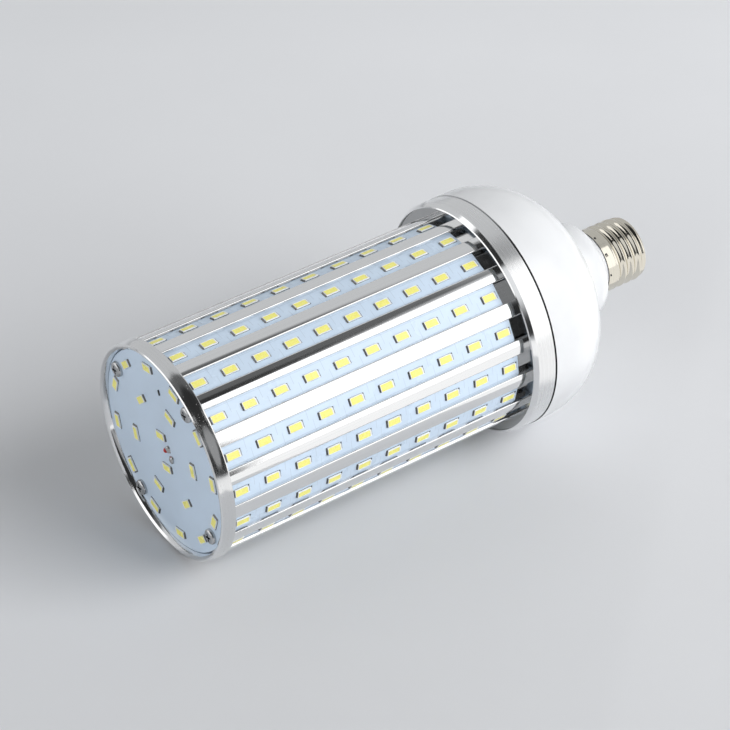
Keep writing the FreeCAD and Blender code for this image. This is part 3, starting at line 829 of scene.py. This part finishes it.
class Section:
    """A wire outline in the XZ plane, drawn point by point and then spun about the axis."""

    def __init__(self, radius, z):
        self.bm = bmesh.new()
        self.tip = self.bm.verts.new((radius, 0.0, z))
        self.first = self.tip

    def line(self, radius, z, cuts=0):
        """A straight run to a point, cut into equal lengths."""
        start = self.tip.co.copy()
        for step in range(1, cuts + 2):
            made = bmesh.ops.extrude_vert_indiv(self.bm, verts=[self.tip])
            self.tip = made["verts"][0]
            self.tip.co = start.lerp(Vector((radius, 0.0, z)), step / (cuts + 1))
        return self

    def quarter(self, radius, z, steps):
        """A quarter turn about a centre, from the radius towards +Z."""
        made = bmesh.ops.spin(
            self.bm,
            geom=[self.tip],
            cent=(radius, 0.0, z),
            axis=(0.0, -1.0, 0.0),
            angle=math.tau / 4,
            steps=steps,
        )
        self.tip = next(item for item in made["geom_last"] if isinstance(item, bmesh.types.BMVert))
        return self

    def close(self):
        """The last run back to the first point."""
        self.bm.edges.new((self.tip, self.first))
        return self

    def spin(self, steps):
        """The turned form."""
        bm = self.bm
        bmesh.ops.spin(
            bm,
            geom=bm.verts[:] + bm.edges[:],
            cent=(0.0, 0.0, 0.0),
            axis=(0.0, 0.0, 1.0),
            angle=math.tau,
            steps=steps,
            use_merge=True,
        )
        bmesh.ops.remove_doubles(bm, verts=bm.verts, dist=WELD)
        bmesh.ops.recalc_face_normals(bm, faces=bm.faces)
        return bm


def chip_form():
    """One light chip: body with a sunk window, and a soldered terminal at each end.

    Its long side is X, its underside is at zero and +Z is out of the board.
    """
    size = settings().chips
    bm = bmesh.new()
    block(bm, (size.chip_length, size.chip_width, size.base_height), (0.0, 0.0, size.base_height / 2))
    corner = max(bm.edges, key=lambda edge: sum(vert.co.x + vert.co.y for vert in edge.verts))
    bevel(bm, [corner], size.notch)
    # The base and its cut corner take the dark tin: painted contact shadow and shade, over a lead frame in
    # part
    for face in bm.faces:
        face.material_index = 2
    top = top_face(bm)
    raised = bmesh.ops.extrude_face_region(bm, geom=[top])["geom"]
    bmesh.ops.delete(bm, geom=[top], context="FACES_ONLY")
    upper = [item for item in raised if isinstance(item, bmesh.types.BMVert)]
    bmesh.ops.translate(bm, vec=(0.0, 0.0, size.chip_height - size.base_height), verts=upper)
    for face in {face for vert in upper for face in vert.link_faces}:
        face.material_index = 0
    top = top_face(bm)
    bevel(bm, top.edges[:], size.edge_bevel)
    top = top_face(bm)
    bmesh.ops.inset_individual(bm, faces=[top], thickness=size.frame_width - size.edge_bevel)
    for vert in top.verts:
        if vert.co.x > 0.0:
            vert.co.x -= size.window_margin
    bmesh.ops.inset_individual(bm, faces=[top], thickness=size.window_slope, depth=-size.window_depth)
    top.material_index = 1
    for side in (-1.0, 1.0):
        middle = side * (size.chip_length + size.terminal_length) / 2
        terminal = (size.terminal_length, size.terminal_width, size.terminal_height)
        made = block(bm, terminal, (middle, 0.0, size.terminal_height / 2))
        for vert in made:
            if vert.co.x * side > abs(middle) and vert.co.z > 0.0:
                vert.co.z = size.terminal_toe
        # The terminals take the dark tin as well: painted shade and dark reflection on the solder
        for face in {face for vert in made for face in vert.link_faces}:
            face.material_index = 2
    return new_mesh("chip form", bm)


def set_chips(places):
    """A bmesh with a chip at each place."""
    form = chip_form()
    bm = bmesh.new()
    for place in places:
        before = len(bm.verts)
        bm.from_mesh(form)
        bm.verts.ensure_lookup_table()
        bmesh.ops.transform(bm, matrix=place, verts=bm.verts[before:])
    bpy.data.meshes.remove(form)
    return bm


class BULB_OT_heat_sink(bpy.types.Operator):
    """Make the drawn heat sink with its crowned ribs"""

    bl_idname = "bulb.heat_sink"
    bl_label = "Heat Sink"

    def execute(self, context):
        size = settings().sink
        bm = bmesh.new()
        bm.from_mesh(NODES["heat_sink"].data)
        bmesh.ops.remove_doubles(bm, verts=bm.verts, dist=WELD)
        top = max(vert.co.xy.length for vert in bm.verts)
        step = math.tau / len(STRIP_NAMES)
        reach = math.asin(size.rib_width / 2 / top)
        for rib in range(len(STRIP_NAMES) // 2):
            for cut in range(1, size.crown_cuts + 1):
                turn = step * (rib + 0.5) + reach * (2.0 * cut / (size.crown_cuts + 1) - 1.0)
                across = (-math.sin(turn), math.cos(turn), 0.0)
                bmesh.ops.bisect_plane(bm, geom=everything(bm), plane_co=(0.0, 0.0, 0.0), plane_no=across)
        for vert in bm.verts:
            reach_out = vert.co.xy.length
            if reach_out > top - size.crown_depth:
                turn = math.atan2(vert.co.y, vert.co.x)
                rib_middle = step * (math.floor(turn / step) + 0.5)
                aside = reach_out * math.sin(turn - rib_middle)
                drop = aside * aside / 2 * (1.0 / size.crown_radius - 1.0 / top)
                vert.co.xy *= 1.0 - drop / reach_out
        smooth_under(bm, degrees=32.0)
        new_piece("drawn_sink", bm, ("drawn aluminium",), ("heat_sink",))
        return {"FINISHED"}


class BULB_OT_end_ring(bpy.types.Operator):
    """Make the turned end ring with its bright rim"""

    bl_idname = "bulb.end_ring"
    bl_label = "End Ring"

    def execute(self, context):
        size = settings().ring
        low, high, outer = RING_LOW.z, RING_HIGH.z, RING_HIGH.x
        face, back = BOARD_LOW.z, BOARD_HIGH.z
        rim = size.mouth + size.rim_flat
        turned = Section(size.flange, back).line(size.bore, back).line(size.bore, face)
        turned.line(size.bore + size.mouth_step, low + size.mouth_rise).line(size.mouth, low)
        turned.line(rim, low).line(rim + size.rim_cone, low + size.rim_rise)
        band_start = low + size.rim_rise + size.edge_strip
        band_end = high - size.back_round - size.edge_strip
        turned.line(rim + size.rim_cone + size.edge_rise, band_start, cuts=2)
        turned.line(outer - size.edge_rise, band_end, cuts=3).line(outer, high - size.back_round, cuts=2)
        turned.quarter(outer - size.back_round, high - size.back_round, steps=4)
        bm = turned.line(size.flange, high).close().spin(TURNED_FACES)
        for part in bm.faces:
            middle = part.calc_center_median()
            if middle.xy.length > rim + size.rim_cone and middle.z < high:
                part.material_index = 1
        smooth_under(bm, degrees=20.0)
        finishes = ("turned aluminium", "dusty aluminium")
        new_piece("turned_ring", bm, finishes, ("end_ring",))
        return {"FINISHED"}


class BULB_OT_screws(bpy.types.Operator):
    """Finish the screws"""

    bl_idname = "bulb.screws"
    bl_label = "Screws"

    def execute(self, context):
        dress(["end_screws", "collar_screws"], "bright steel")
        return {"FINISHED"}


class BULB_OT_collar(bpy.types.Operator):
    """Make the turned collar with its bright lip, and a grey floor whose darkness is in part painted shade
    """

    bl_idname = "bulb.collar"
    bl_label = "Collar"

    def execute(self, context):
        size = settings().collar
        low, high, floor = COLLAR_LOW.z, COLLAR_HIGH.z, SINK_HIGH.z
        outer = COLLAR_HIGH.x
        inner = outer - size.wall
        turned = Section(size.bore, floor).line(inner, floor).line(inner, low)
        turned.line(inner + size.lip_flat, low + size.lip_rise).line(outer, low + size.lip_cone)
        turned.line(outer, high).line(inner, high)
        turned.line(inner, floor + size.floor).line(size.bore, floor + size.floor)
        bm = turned.close().spin(TURNED_FACES)
        for face in bm.faces:
            reach = face.calc_center_median().xy.length
            # The floor's darker aluminium is in part painted shade for the recess round the ribs' ends
            if reach < inner - NEAR:
                face.material_index = 2
            elif reach < inner + HAIR:
                face.material_index = 1
            elif reach > outer - NEAR:
                face.material_index = 3
        smooth_under(bm, degrees=20.0)
        finishes = ("turned aluminium", "satin aluminium", "grey aluminium", "brushed aluminium")
        new_piece("turned_collar", bm, finishes, ("collar",))
        return {"FINISHED"}


class BULB_OT_boards(bpy.types.Operator):
    """Finish the light strips' boards and the end board"""

    bl_idname = "bulb.boards"
    bl_label = "Boards"

    def execute(self, context):
        dress(STRIP_NAMES, "strip mask")
        dress(["end_board"], "end board mask")
        return {"FINISHED"}


class BULB_OT_strip_chips(bpy.types.Operator):
    """Make the row of light chips on each strip"""

    bl_idname = "bulb.strip_chips"
    bl_label = "Strip Chips"

    def execute(self, context):
        size = settings().chips
        seat = STRIP_HIGH.x
        first = CHIPS_LOW.z + size.chip_length / 2
        last = CHIPS_HIGH.z - size.chip_length / 2
        upright = Matrix(((0.0, 0.0, 1.0), (0.0, -1.0, 0.0), (1.0, 0.0, 0.0))).to_4x4()
        for index, board in enumerate(STRIP_NAMES):
            turn = Matrix.Rotation(math.tau * index / len(STRIP_NAMES), 4, "Z")
            places = []
            for row in range(size.row_count):
                z = first + (last - first) * row / (size.row_count - 1)
                places.append(turn @ Matrix.Translation((seat, 0.0, z)) @ upright)
            number_text = board.rsplit("_", 1)[1]
            new_piece(
                "strip_chips_" + number_text,
                set_chips(places),
                CHIP_FINISHES,
                ("led_chips_" + number_text,),
            )
        return {"FINISHED"}


class BULB_OT_end_chips(bpy.types.Operator):
    """Make the circles of light chips on the end board"""

    bl_idname = "bulb.end_chips"
    bl_label = "End Chips"

    def execute(self, context):
        size = settings().chips
        face_down = Matrix(((0.0, 1.0, 0.0), (1.0, 0.0, 0.0), (0.0, 0.0, -1.0))).to_4x4()
        places = []
        for count, radius, start in zip(size.end_counts, size.end_radii, size.end_angles):
            for index in range(count):
                turn = Matrix.Rotation(start + math.tau * index / count, 4, "Z")
                places.append(turn @ Matrix.Translation((radius, 0.0, BOARD_LOW.z)) @ face_down)
        new_piece("board_chips", set_chips(places), CHIP_FINISHES, ("end_chips",))
        return {"FINISHED"}


class BULB_OT_solder_joints(bpy.types.Operator):
    """Make the two solder joints and the red lead's sleeve on the end board"""

    bl_idname = "bulb.solder_joints"
    bl_label = "Solder Joints"

    def execute(self, context):
        size = settings().joints
        blobs = bmesh.new()
        for radius, turn, lean in (
            (size.red_radius, size.red_angle, RED_LEAN),
            (size.black_radius, size.black_angle, BLACK_LEAN),
        ):
            place = Vector((radius * math.cos(turn), radius * math.sin(turn), BOARD_LOW.z))
            made = bmesh.ops.create_uvsphere(
                blobs, u_segments=LEAD_FACES, v_segments=12, radius=size.joint_radius
            )["verts"]
            bmesh.ops.scale(blobs, vec=(1.0, 1.0, size.joint_height / size.joint_radius), verts=made)
            for vert in made:
                around = math.atan2(vert.co.y, vert.co.x)
                swell = 1.0 + BLOB_SWELL * math.cos(BLOB_LOBES * around + BLOB_TURN * lean.x)
                vert.co.x *= swell
                vert.co.y *= swell
                vert.co += lean * max(0.0, -vert.co.z) * BLOB_LEAN
            bmesh.ops.translate(blobs, vec=place, verts=made)
        bmesh.ops.bisect_plane(
            blobs,
            geom=everything(blobs),
            plane_co=(0.0, 0.0, BOARD_LOW.z),
            plane_no=(0.0, 0.0, 1.0),
            clear_outer=True,
        )
        bmesh.ops.holes_fill(blobs, edges=[edge for edge in blobs.edges if edge.is_boundary], sides=0)
        bmesh.ops.recalc_face_normals(blobs, faces=blobs.faces)
        smooth_under(blobs, degrees=50.0)
        new_piece("solder_joints", blobs, ("soft solder",), ("end_solder",))
        straight = size.sleeve_length - size.sleeve_round
        sleeve = Section(0.0, 0.0).line(size.sleeve_radius, 0.0).line(size.sleeve_radius, straight)
        sleeve.quarter(size.sleeve_radius - size.sleeve_round, straight, steps=4)
        tube = sleeve.line(0.0, size.sleeve_length).spin(LEAD_FACES)
        smooth_under(tube, degrees=50.0)
        foot = Vector((math.cos(size.red_angle), math.sin(size.red_angle), 0.0)) * size.red_radius
        turn = Matrix.Rotation(size.sleeve_turn, 4, "Z")
        foot += turn @ Vector((0.0, -size.sleeve_length, BOARD_LOW.z))
        lean = Matrix.Translation(foot) @ turn @ Matrix.Rotation(size.sleeve_lean, 4, "X")
        bmesh.ops.transform(tube, matrix=lean, verts=tube.verts)
        new_piece("red_sleeve", tube, ("red sleeve",))
        return {"FINISHED"}


class BULB_OT_board_slot_shade(bpy.types.Operator):
    """Make the small black block on the end board, painted shade that stands for a dark slot in the board"""

    bl_idname = "bulb.board_link"
    bl_label = "Board Link"

    def execute(self, context):
        size = settings().joints
        bm = bmesh.new()
        middle = (size.slot_shade_x, size.slot_shade_y, BOARD_LOW.z - size.slot_shade_height / 2)
        block(bm, (size.slot_shade_length, size.slot_shade_width, size.slot_shade_height), middle)
        upright = [edge for edge in bm.edges if edge.calc_length() < size.slot_shade_height + HAIR]
        bevel(bm, upright, size.slot_shade_width * SLOT_SHADE_ROUND, segments=3)
        face = min(bm.faces, key=lambda part: part.calc_center_median().z)
        rim, hollow = size.slot_shade_width * SLOT_SHADE_RIM, size.slot_shade_height * SLOT_SHADE_HOLLOW
        bmesh.ops.inset_individual(bm, faces=[face], thickness=rim, depth=hollow)
        smooth_under(bm, degrees=35.0)
        new_piece("board_link", bm, ("black moulding",))
        return {"FINISHED"}


class BULB_OT_housing(bpy.types.Operator):
    """Make the white housing with an even surface"""

    bl_idname = "bulb.housing"
    bl_label = "Housing"

    def execute(self, context):
        bm = bmesh.new()
        bm.from_mesh(NODES["housing"].data)
        bmesh.ops.remove_doubles(bm, verts=bm.verts, dist=SLIVER)
        bmesh.ops.dissolve_degenerate(bm, edges=bm.edges, dist=HAIR)
        bmesh.ops.recalc_face_normals(bm, faces=bm.faces)
        smooth_under(bm, degrees=30.0)
        piece = new_piece("moulded_housing", bm, ("glossy housing",), ("housing",))
        carried = piece.data.attributes.get("custom_normal")
        if carried:
            piece.data.attributes.remove(carried)
        return {"FINISHED"}


class BULB_OT_screw_cap(bpy.types.Operator):
    """Make the rolled screw cap, and finish its insulator and contact"""

    bl_idname = "bulb.screw_cap"
    bl_label = "Screw Cap"

    def execute(self, context):
        size = settings().cap
        low, high = CAP_LOW.z, CAP_HIGH.z
        start = low + size.thread_start
        stop = high - size.end_side
        middle = (size.crest_radius + size.root_radius) / 2
        wave = (size.crest_radius - size.root_radius) / 2
        cuts = round((stop - start) / size.pitch * THREAD_CUTS)
        inner = size.mouth_radius + size.sheet
        seam = size.skirt_radius - size.seam_depth
        edge = low + size.seam_width
        shell = Section(seam, low).line(seam, edge).line(size.skirt_radius, edge)
        shell.line(size.skirt_radius, start, cuts=THREAD_CUTS).line(middle, stop, cuts=cuts)
        shell.line(middle, high - size.end_round)
        shell.quarter(middle - size.end_round, high - size.end_round, steps=6)
        shell.line(size.mouth_radius, high).line(size.mouth_radius, high - size.sheet)
        shell.line(middle - size.sheet, stop - size.sheet).line(middle - size.sheet, start, cuts=cuts)
        bm = shell.close().spin(CAP_FACES)
        run_out = RUN_OUT * size.pitch
        for vert in bm.verts:
            around = math.atan2(vert.co.y, vert.co.x)
            into = min((vert.co.z - start) / run_out, (stop - vert.co.z) / run_out, 1.0)
            reach = vert.co.xy.length
            if into > 0.0 and reach > inner:
                lead = math.cos(math.tau * (vert.co.z - start) / size.pitch - around)
                outer = middle if reach > middle - size.sheet / 2 else middle - size.sheet
                target = outer + wave * lead * into
                if reach > middle + wave / 2 and into < 1.0:
                    target = max(target, reach * (1.0 - into) + target * into)
                vert.co.xy *= target / reach
        for index in range(size.crimp_count):
            turn = size.crimp_angle + math.tau * index / size.crimp_count
            mark = Vector((math.cos(turn), math.sin(turn), 0.0)) * size.skirt_radius
            mark.z = low + size.crimp_offset
            for vert in bm.verts:
                near = (vert.co - mark).length / size.crimp_radius
                if near < 1.0:
                    vert.co.xy *= 1.0 - size.crimp_depth * (1.0 - near * near) / size.skirt_radius
            # Painted shade: each punched mark's hollow takes the black moulding
            for face in bm.faces:
                if (face.calc_center_median() - mark).length < size.crimp_radius * MARK_SHADE_CORE:
                    face.material_index = 1
        # Painted shade: the seam's faces next to the neck take the black moulding, for the shaded gap at the
        # neck
        for face in bm.faces:
            middle_point = face.calc_center_median()
            if middle_point.z < edge + HAIR and middle_point.xy.length > seam - NEAR:
                face.material_index = 1
        smooth_under(bm, degrees=40.0)
        new_piece("rolled_cap", bm, ("nickel plate", "black moulding"), ("cap_shell",))
        dress(["cap_insulator"], "dark insulator")
        dress(["cap_contact"], "tinned metal")
        return {"FINISHED"}


class BULB_OT_driver(bpy.types.Operator):
    """Finish the driver and the leads inside"""

    bl_idname = "bulb.driver"
    bl_label = "Driver and Leads"

    def execute(self, context):
        for node, name in (
            ("driver_board", "driver laminate"),
            ("driver_transformer", "winding tape"),
            ("driver_capacitors", "capacitor sleeve"),
            ("driver_choke", "black moulding"),
            ("driver_rectifier", "black moulding"),
            ("red_lead", "red sleeve"),
            ("black_lead", "black sleeve"),
            ("live_lead", "white sleeve"),
            ("neutral_lead", "white sleeve"),
        ):
            dress([node], name)
        return {"FINISHED"}


def stage_axes():
    """Up from the floor, straight ahead and right for the camera, and a point where the lamp lies."""
    stage = settings().stage
    rise = math.atan2(COLLAR_HIGH.x - RING_HIGH.x, COLLAR_LOW.z - RING_LOW.z)
    side = Vector((math.cos(stage.lie_angle), math.sin(stage.lie_angle), 0.0))
    up = -side * math.cos(rise) + Vector((0.0, 0.0, math.sin(rise)))
    ahead = Euler(stage.camera_turn).to_matrix() @ Vector((0.0, 0.0, -1.0))
    ahead = (ahead - up * ahead.dot(up)).normalized()
    return up, ahead, ahead.cross(up), side * RING_HIGH.x


def flat_card(name, width, height, place, facing, top):
    """A flat stage card that faces one way, with its top towards a direction."""
    bm = bmesh.new()
    bmesh.ops.create_grid(bm, x_segments=1, y_segments=1, size=0.5)
    bmesh.ops.scale(bm, vec=(width, height, 1.0), verts=bm.verts)
    normal = facing.normalized()
    sideways = top.cross(normal).normalized()
    turn = Matrix((sideways, normal.cross(sideways), normal)).transposed().to_4x4()
    bmesh.ops.transform(bm, matrix=Matrix.Translation(place) @ turn, verts=bm.verts)
    card = new_object(name, new_mesh(name, bm))
    return card


def floor_finish(name, shade, ahead=None):
    """Pale matt floor that shows only from its upper side; given a direction, painted paler further ahead as
    a falloff of light.
    """
    material, tree, shader = new_material(name, Roughness=0.85, Specular_IOR_Level=0.2)
    mottle = effect(tree, "marks", Scale=5.0)
    change = SHELF_DRIFT
    if ahead is not None:
        stage = settings().stage
        change = stage.floor_painted_falloff
        # Painted light: the floor grows paler along the view
        reach = along(tree, place_in(tree), ahead)
        slope = spread(tree, reach, stage.floor_near, stage.floor_far, 0.0, FLOOR_RANGE, smooth=False)
        mottle = maths(tree, "MULTIPLY_ADD", mottle, FLOOR_MOTTLE, slope)
    join(tree, drift(tree, mottle, shade, 1.0 - change, 1.0 + change), shader.inputs["Base Color"])
    clear = add(tree, "ShaderNodeBsdfTransparent")
    mix = add(tree, "ShaderNodeMixShader")
    join(tree, add(tree, "ShaderNodeNewGeometry").outputs["Backfacing"], mix.inputs["Fac"])
    join(tree, shader.outputs[0], mix.inputs[1])
    join(tree, clear.outputs[0], mix.inputs[2])
    join(tree, mix.outputs[0], tree.nodes["Material Output"].inputs["Surface"])
    return material


def glow_finish(name, strength):
    """Even white glow."""
    material = bpy.data.materials.new(name)
    material.use_nodes = True
    tree = material.node_tree
    tree.nodes.remove(tree.nodes["Principled BSDF"])
    glow = add(tree, "ShaderNodeEmission")
    glow.inputs["Strength"].default_value = strength
    join(tree, glow.outputs[0], tree.nodes["Material Output"].inputs["Surface"])
    return material


def studio_world(up, ahead, right, to_card):
    """Grey walls ahead, a dim ceiling with a flag beside it, a room behind; pale to the camera."""
    stage = settings().stage
    world = bpy.data.worlds.new("Studio")
    bpy.context.scene.world = world
    world.use_nodes = True
    tree = world.node_tree
    direction = add(tree, "ShaderNodeTexCoord").outputs["Generated"]
    side, rise, depth = (along(tree, direction, axis) for axis in (right, up, ahead))
    ceiling = up * math.cos(stage.ceiling_lean) + to_card * math.sin(stage.ceiling_lean)
    overhead = spread(tree, along(tree, direction, ceiling), *CEILING_EDGE)
    flag = maths(tree, "MULTIPLY", spread(tree, side, *FLAG_RIGHT, 1.0, 0.0), spread(tree, rise, *FLAG_UP))
    flag = maths(tree, "MULTIPLY", flag, spread(tree, depth, *FLAG_AHEAD, 1.0, 0.0))
    overhead = maths(tree, "MAXIMUM", overhead, flag)
    in_front = spread(tree, depth, *WALL_AHEAD, stage.dark_glow, stage.wall_glow)
    behind = maths(tree, "MULTIPLY_ADD", maths(tree, "MINIMUM", rise, ROOM_TOP), ROOM_SLOPE, depth)
    behind = spread(tree, behind, *ROOM_EDGE, 1.0, 0.0)
    window = spread(tree, side, *WINDOW_RIGHT, stage.window_glow, 0.0)
    room = maths(tree, "MAXIMUM", window, spread(tree, side, *ROOM_RIGHT, 0.0, stage.room_glow))
    behind = maths(tree, "MULTIPLY", behind, room)
    wall = maths(tree, "MAXIMUM", in_front, behind)
    wall = maths(tree, "MULTIPLY", wall, maths(tree, "SUBTRACT", 1.0, overhead))
    above = spread(tree, depth, *CEILING_AHEAD, stage.dark_glow, stage.ceiling_glow)
    glow = maths(tree, "MULTIPLY_ADD", overhead, above, wall)
    to_camera = add(tree, "ShaderNodeLightPath").outputs["Is Camera Ray"]
    glow = maths(tree, "MAXIMUM", glow, maths(tree, "MULTIPLY", to_camera, stage.backdrop_glow))
    backdrop = tree.nodes["Background"]
    backdrop.inputs["Color"].default_value = (*stage.backdrop_shade, 1.0)
    join(tree, glow, backdrop.inputs["Strength"])


def soft_lamp(name, axes, bearing, rise, distance, size, strength):
    """A square soft light that faces the bulb and shows in no reflection."""
    up, ahead, right, middle = axes
    flat = right * math.sin(bearing) + ahead * math.cos(bearing)
    outward = flat * math.cos(rise) + up * math.sin(rise)
    sideways = up.cross(outward).normalized()
    data = bpy.data.lights.new(name, "AREA")
    data.size = size
    data.energy = strength
    lamp = new_object(name, data)
    lamp.matrix_world = Matrix((sideways, outward.cross(sideways), outward)).transposed().to_4x4()
    lamp.location = middle + outward * distance
    lamp.visible_glossy = False
    lamp.visible_camera = False


def bright_card(name, width, height, place, facing, top, glow):
    """A card that shows only in reflections."""
    card = flat_card(name, width, height, place, facing, top)
    card.data.materials.append(glow_finish(name, glow))
    card.visible_camera = False
    card.visible_diffuse = False
    card.visible_shadow = False


class BULB_OT_stage(bpy.types.Operator):
    """Set the camera, the floor and the lamps"""

    bl_idname = "bulb.stage"
    bl_label = "Stage"

    def execute(self, context):
        stage = settings().stage
        scene = context.scene
        up, ahead, right, foot = stage_axes()
        camera_data = bpy.data.cameras.new("Camera")
        camera_data.lens = stage.lens
        camera_data.sensor_width = 36.0
        camera = new_object("Camera", camera_data)
        camera.location = stage.camera_place
        camera.rotation_euler = stage.camera_turn
        scene.camera = camera
        scene.view_settings.view_transform = "Standard"

        floor = flat_card("floor", stage.floor_size, stage.floor_size, foot, up, ahead)
        floor.data.materials.append(floor_finish("Pale floor", stage.floor_shade, ahead))
        origin, axis = Vector((0.0, 0.0, 0.0)), Vector((0.0, 0.0, 1.0))
        shelf = flat_card("shelf", stage.floor_size, stage.floor_size, origin, axis, ahead)
        shelf.data.materials.append(floor_finish("Pale shelf", stage.shelf_shade))
        shelf.visible_diffuse = False
        shelf.visible_glossy = False
        shelf.visible_transmission = False
        shelf.visible_shadow = False

        middle = Vector((0.0, 0.0, (CAD_BOX[0].z + CAD_BOX[1].z) / 2))
        ground = middle + up * (foot - middle).dot(up)
        axes = (up, ahead, right, middle)
        for lamp in ("key", "fill"):
            ends = ("_bearing", "_rise", "_distance", "_size", "_power")
            soft_lamp(lamp.capitalize(), axes, *(getattr(stage, lamp + end) for end in ends))
        to_card = right * math.sin(stage.card_bearing) + ahead * math.cos(stage.card_bearing)
        place = ground + to_card * stage.card_distance + up * stage.card_height / 2
        bright_card("Right card", stage.card_width, stage.card_height, place, -to_card, up, stage.card_glow)
        to_side = right * math.sin(stage.side_bearing) + ahead * math.cos(stage.side_bearing)
        place = ground + to_side * stage.card_distance + up * (stage.side_foot + stage.side_height / 2)
        bright_card("Left card", stage.side_width, stage.side_height, place, -to_side, up, stage.side_glow)
        place = ground + to_card * stage.bounce_distance + up * stage.bounce_lift
        side = stage.bounce_size
        bright_card("Lit floor", side, side, place, up, to_card, stage.bounce_glow)
        studio_world(up, ahead, right, to_card)
        return {"FINISHED"}


PIECE_OPERATORS = (
    BULB_OT_heat_sink,
    BULB_OT_end_ring,
    BULB_OT_screws,
    BULB_OT_collar,
    BULB_OT_boards,
    BULB_OT_strip_chips,
    BULB_OT_end_chips,
    BULB_OT_solder_joints,
    BULB_OT_board_slot_shade,
    BULB_OT_housing,
    BULB_OT_screw_cap,
    BULB_OT_driver,
    BULB_OT_stage,
)


class BULB_PT_panel(bpy.types.Panel):
    """Lists the bulb's operators"""

    bl_idname = "BULB_PT_panel"
    bl_label = "Corn LED Bulb"
    bl_space_type = "VIEW_3D"
    bl_region_type = "UI"
    bl_category = "Bulb"

    def draw(self, context):
        for operator in PIECE_OPERATORS:
            self.layout.operator(operator.bl_idname)


CLASSES = (*GROUPS, BulbSettings, *PIECE_OPERATORS, BULB_PT_panel)


def register():
    """Adds the settings, the operators and the panel."""
    for cls in CLASSES:
        bpy.utils.register_class(cls)
    bpy.types.Scene.bulb = PointerProperty(type=BulbSettings)


def unregister():
    """Takes the settings, the operators and the panel away."""
    del bpy.types.Scene.bulb
    for cls in reversed(CLASSES):
        bpy.utils.unregister_class(cls)


def main():
    """Makes all pieces and the stage."""
    register()
    for operator in PIECE_OPERATORS:
        group, name = operator.bl_idname.split(".")
        getattr(getattr(bpy.ops, group), name)()


if __name__ == "__main__":
    main()
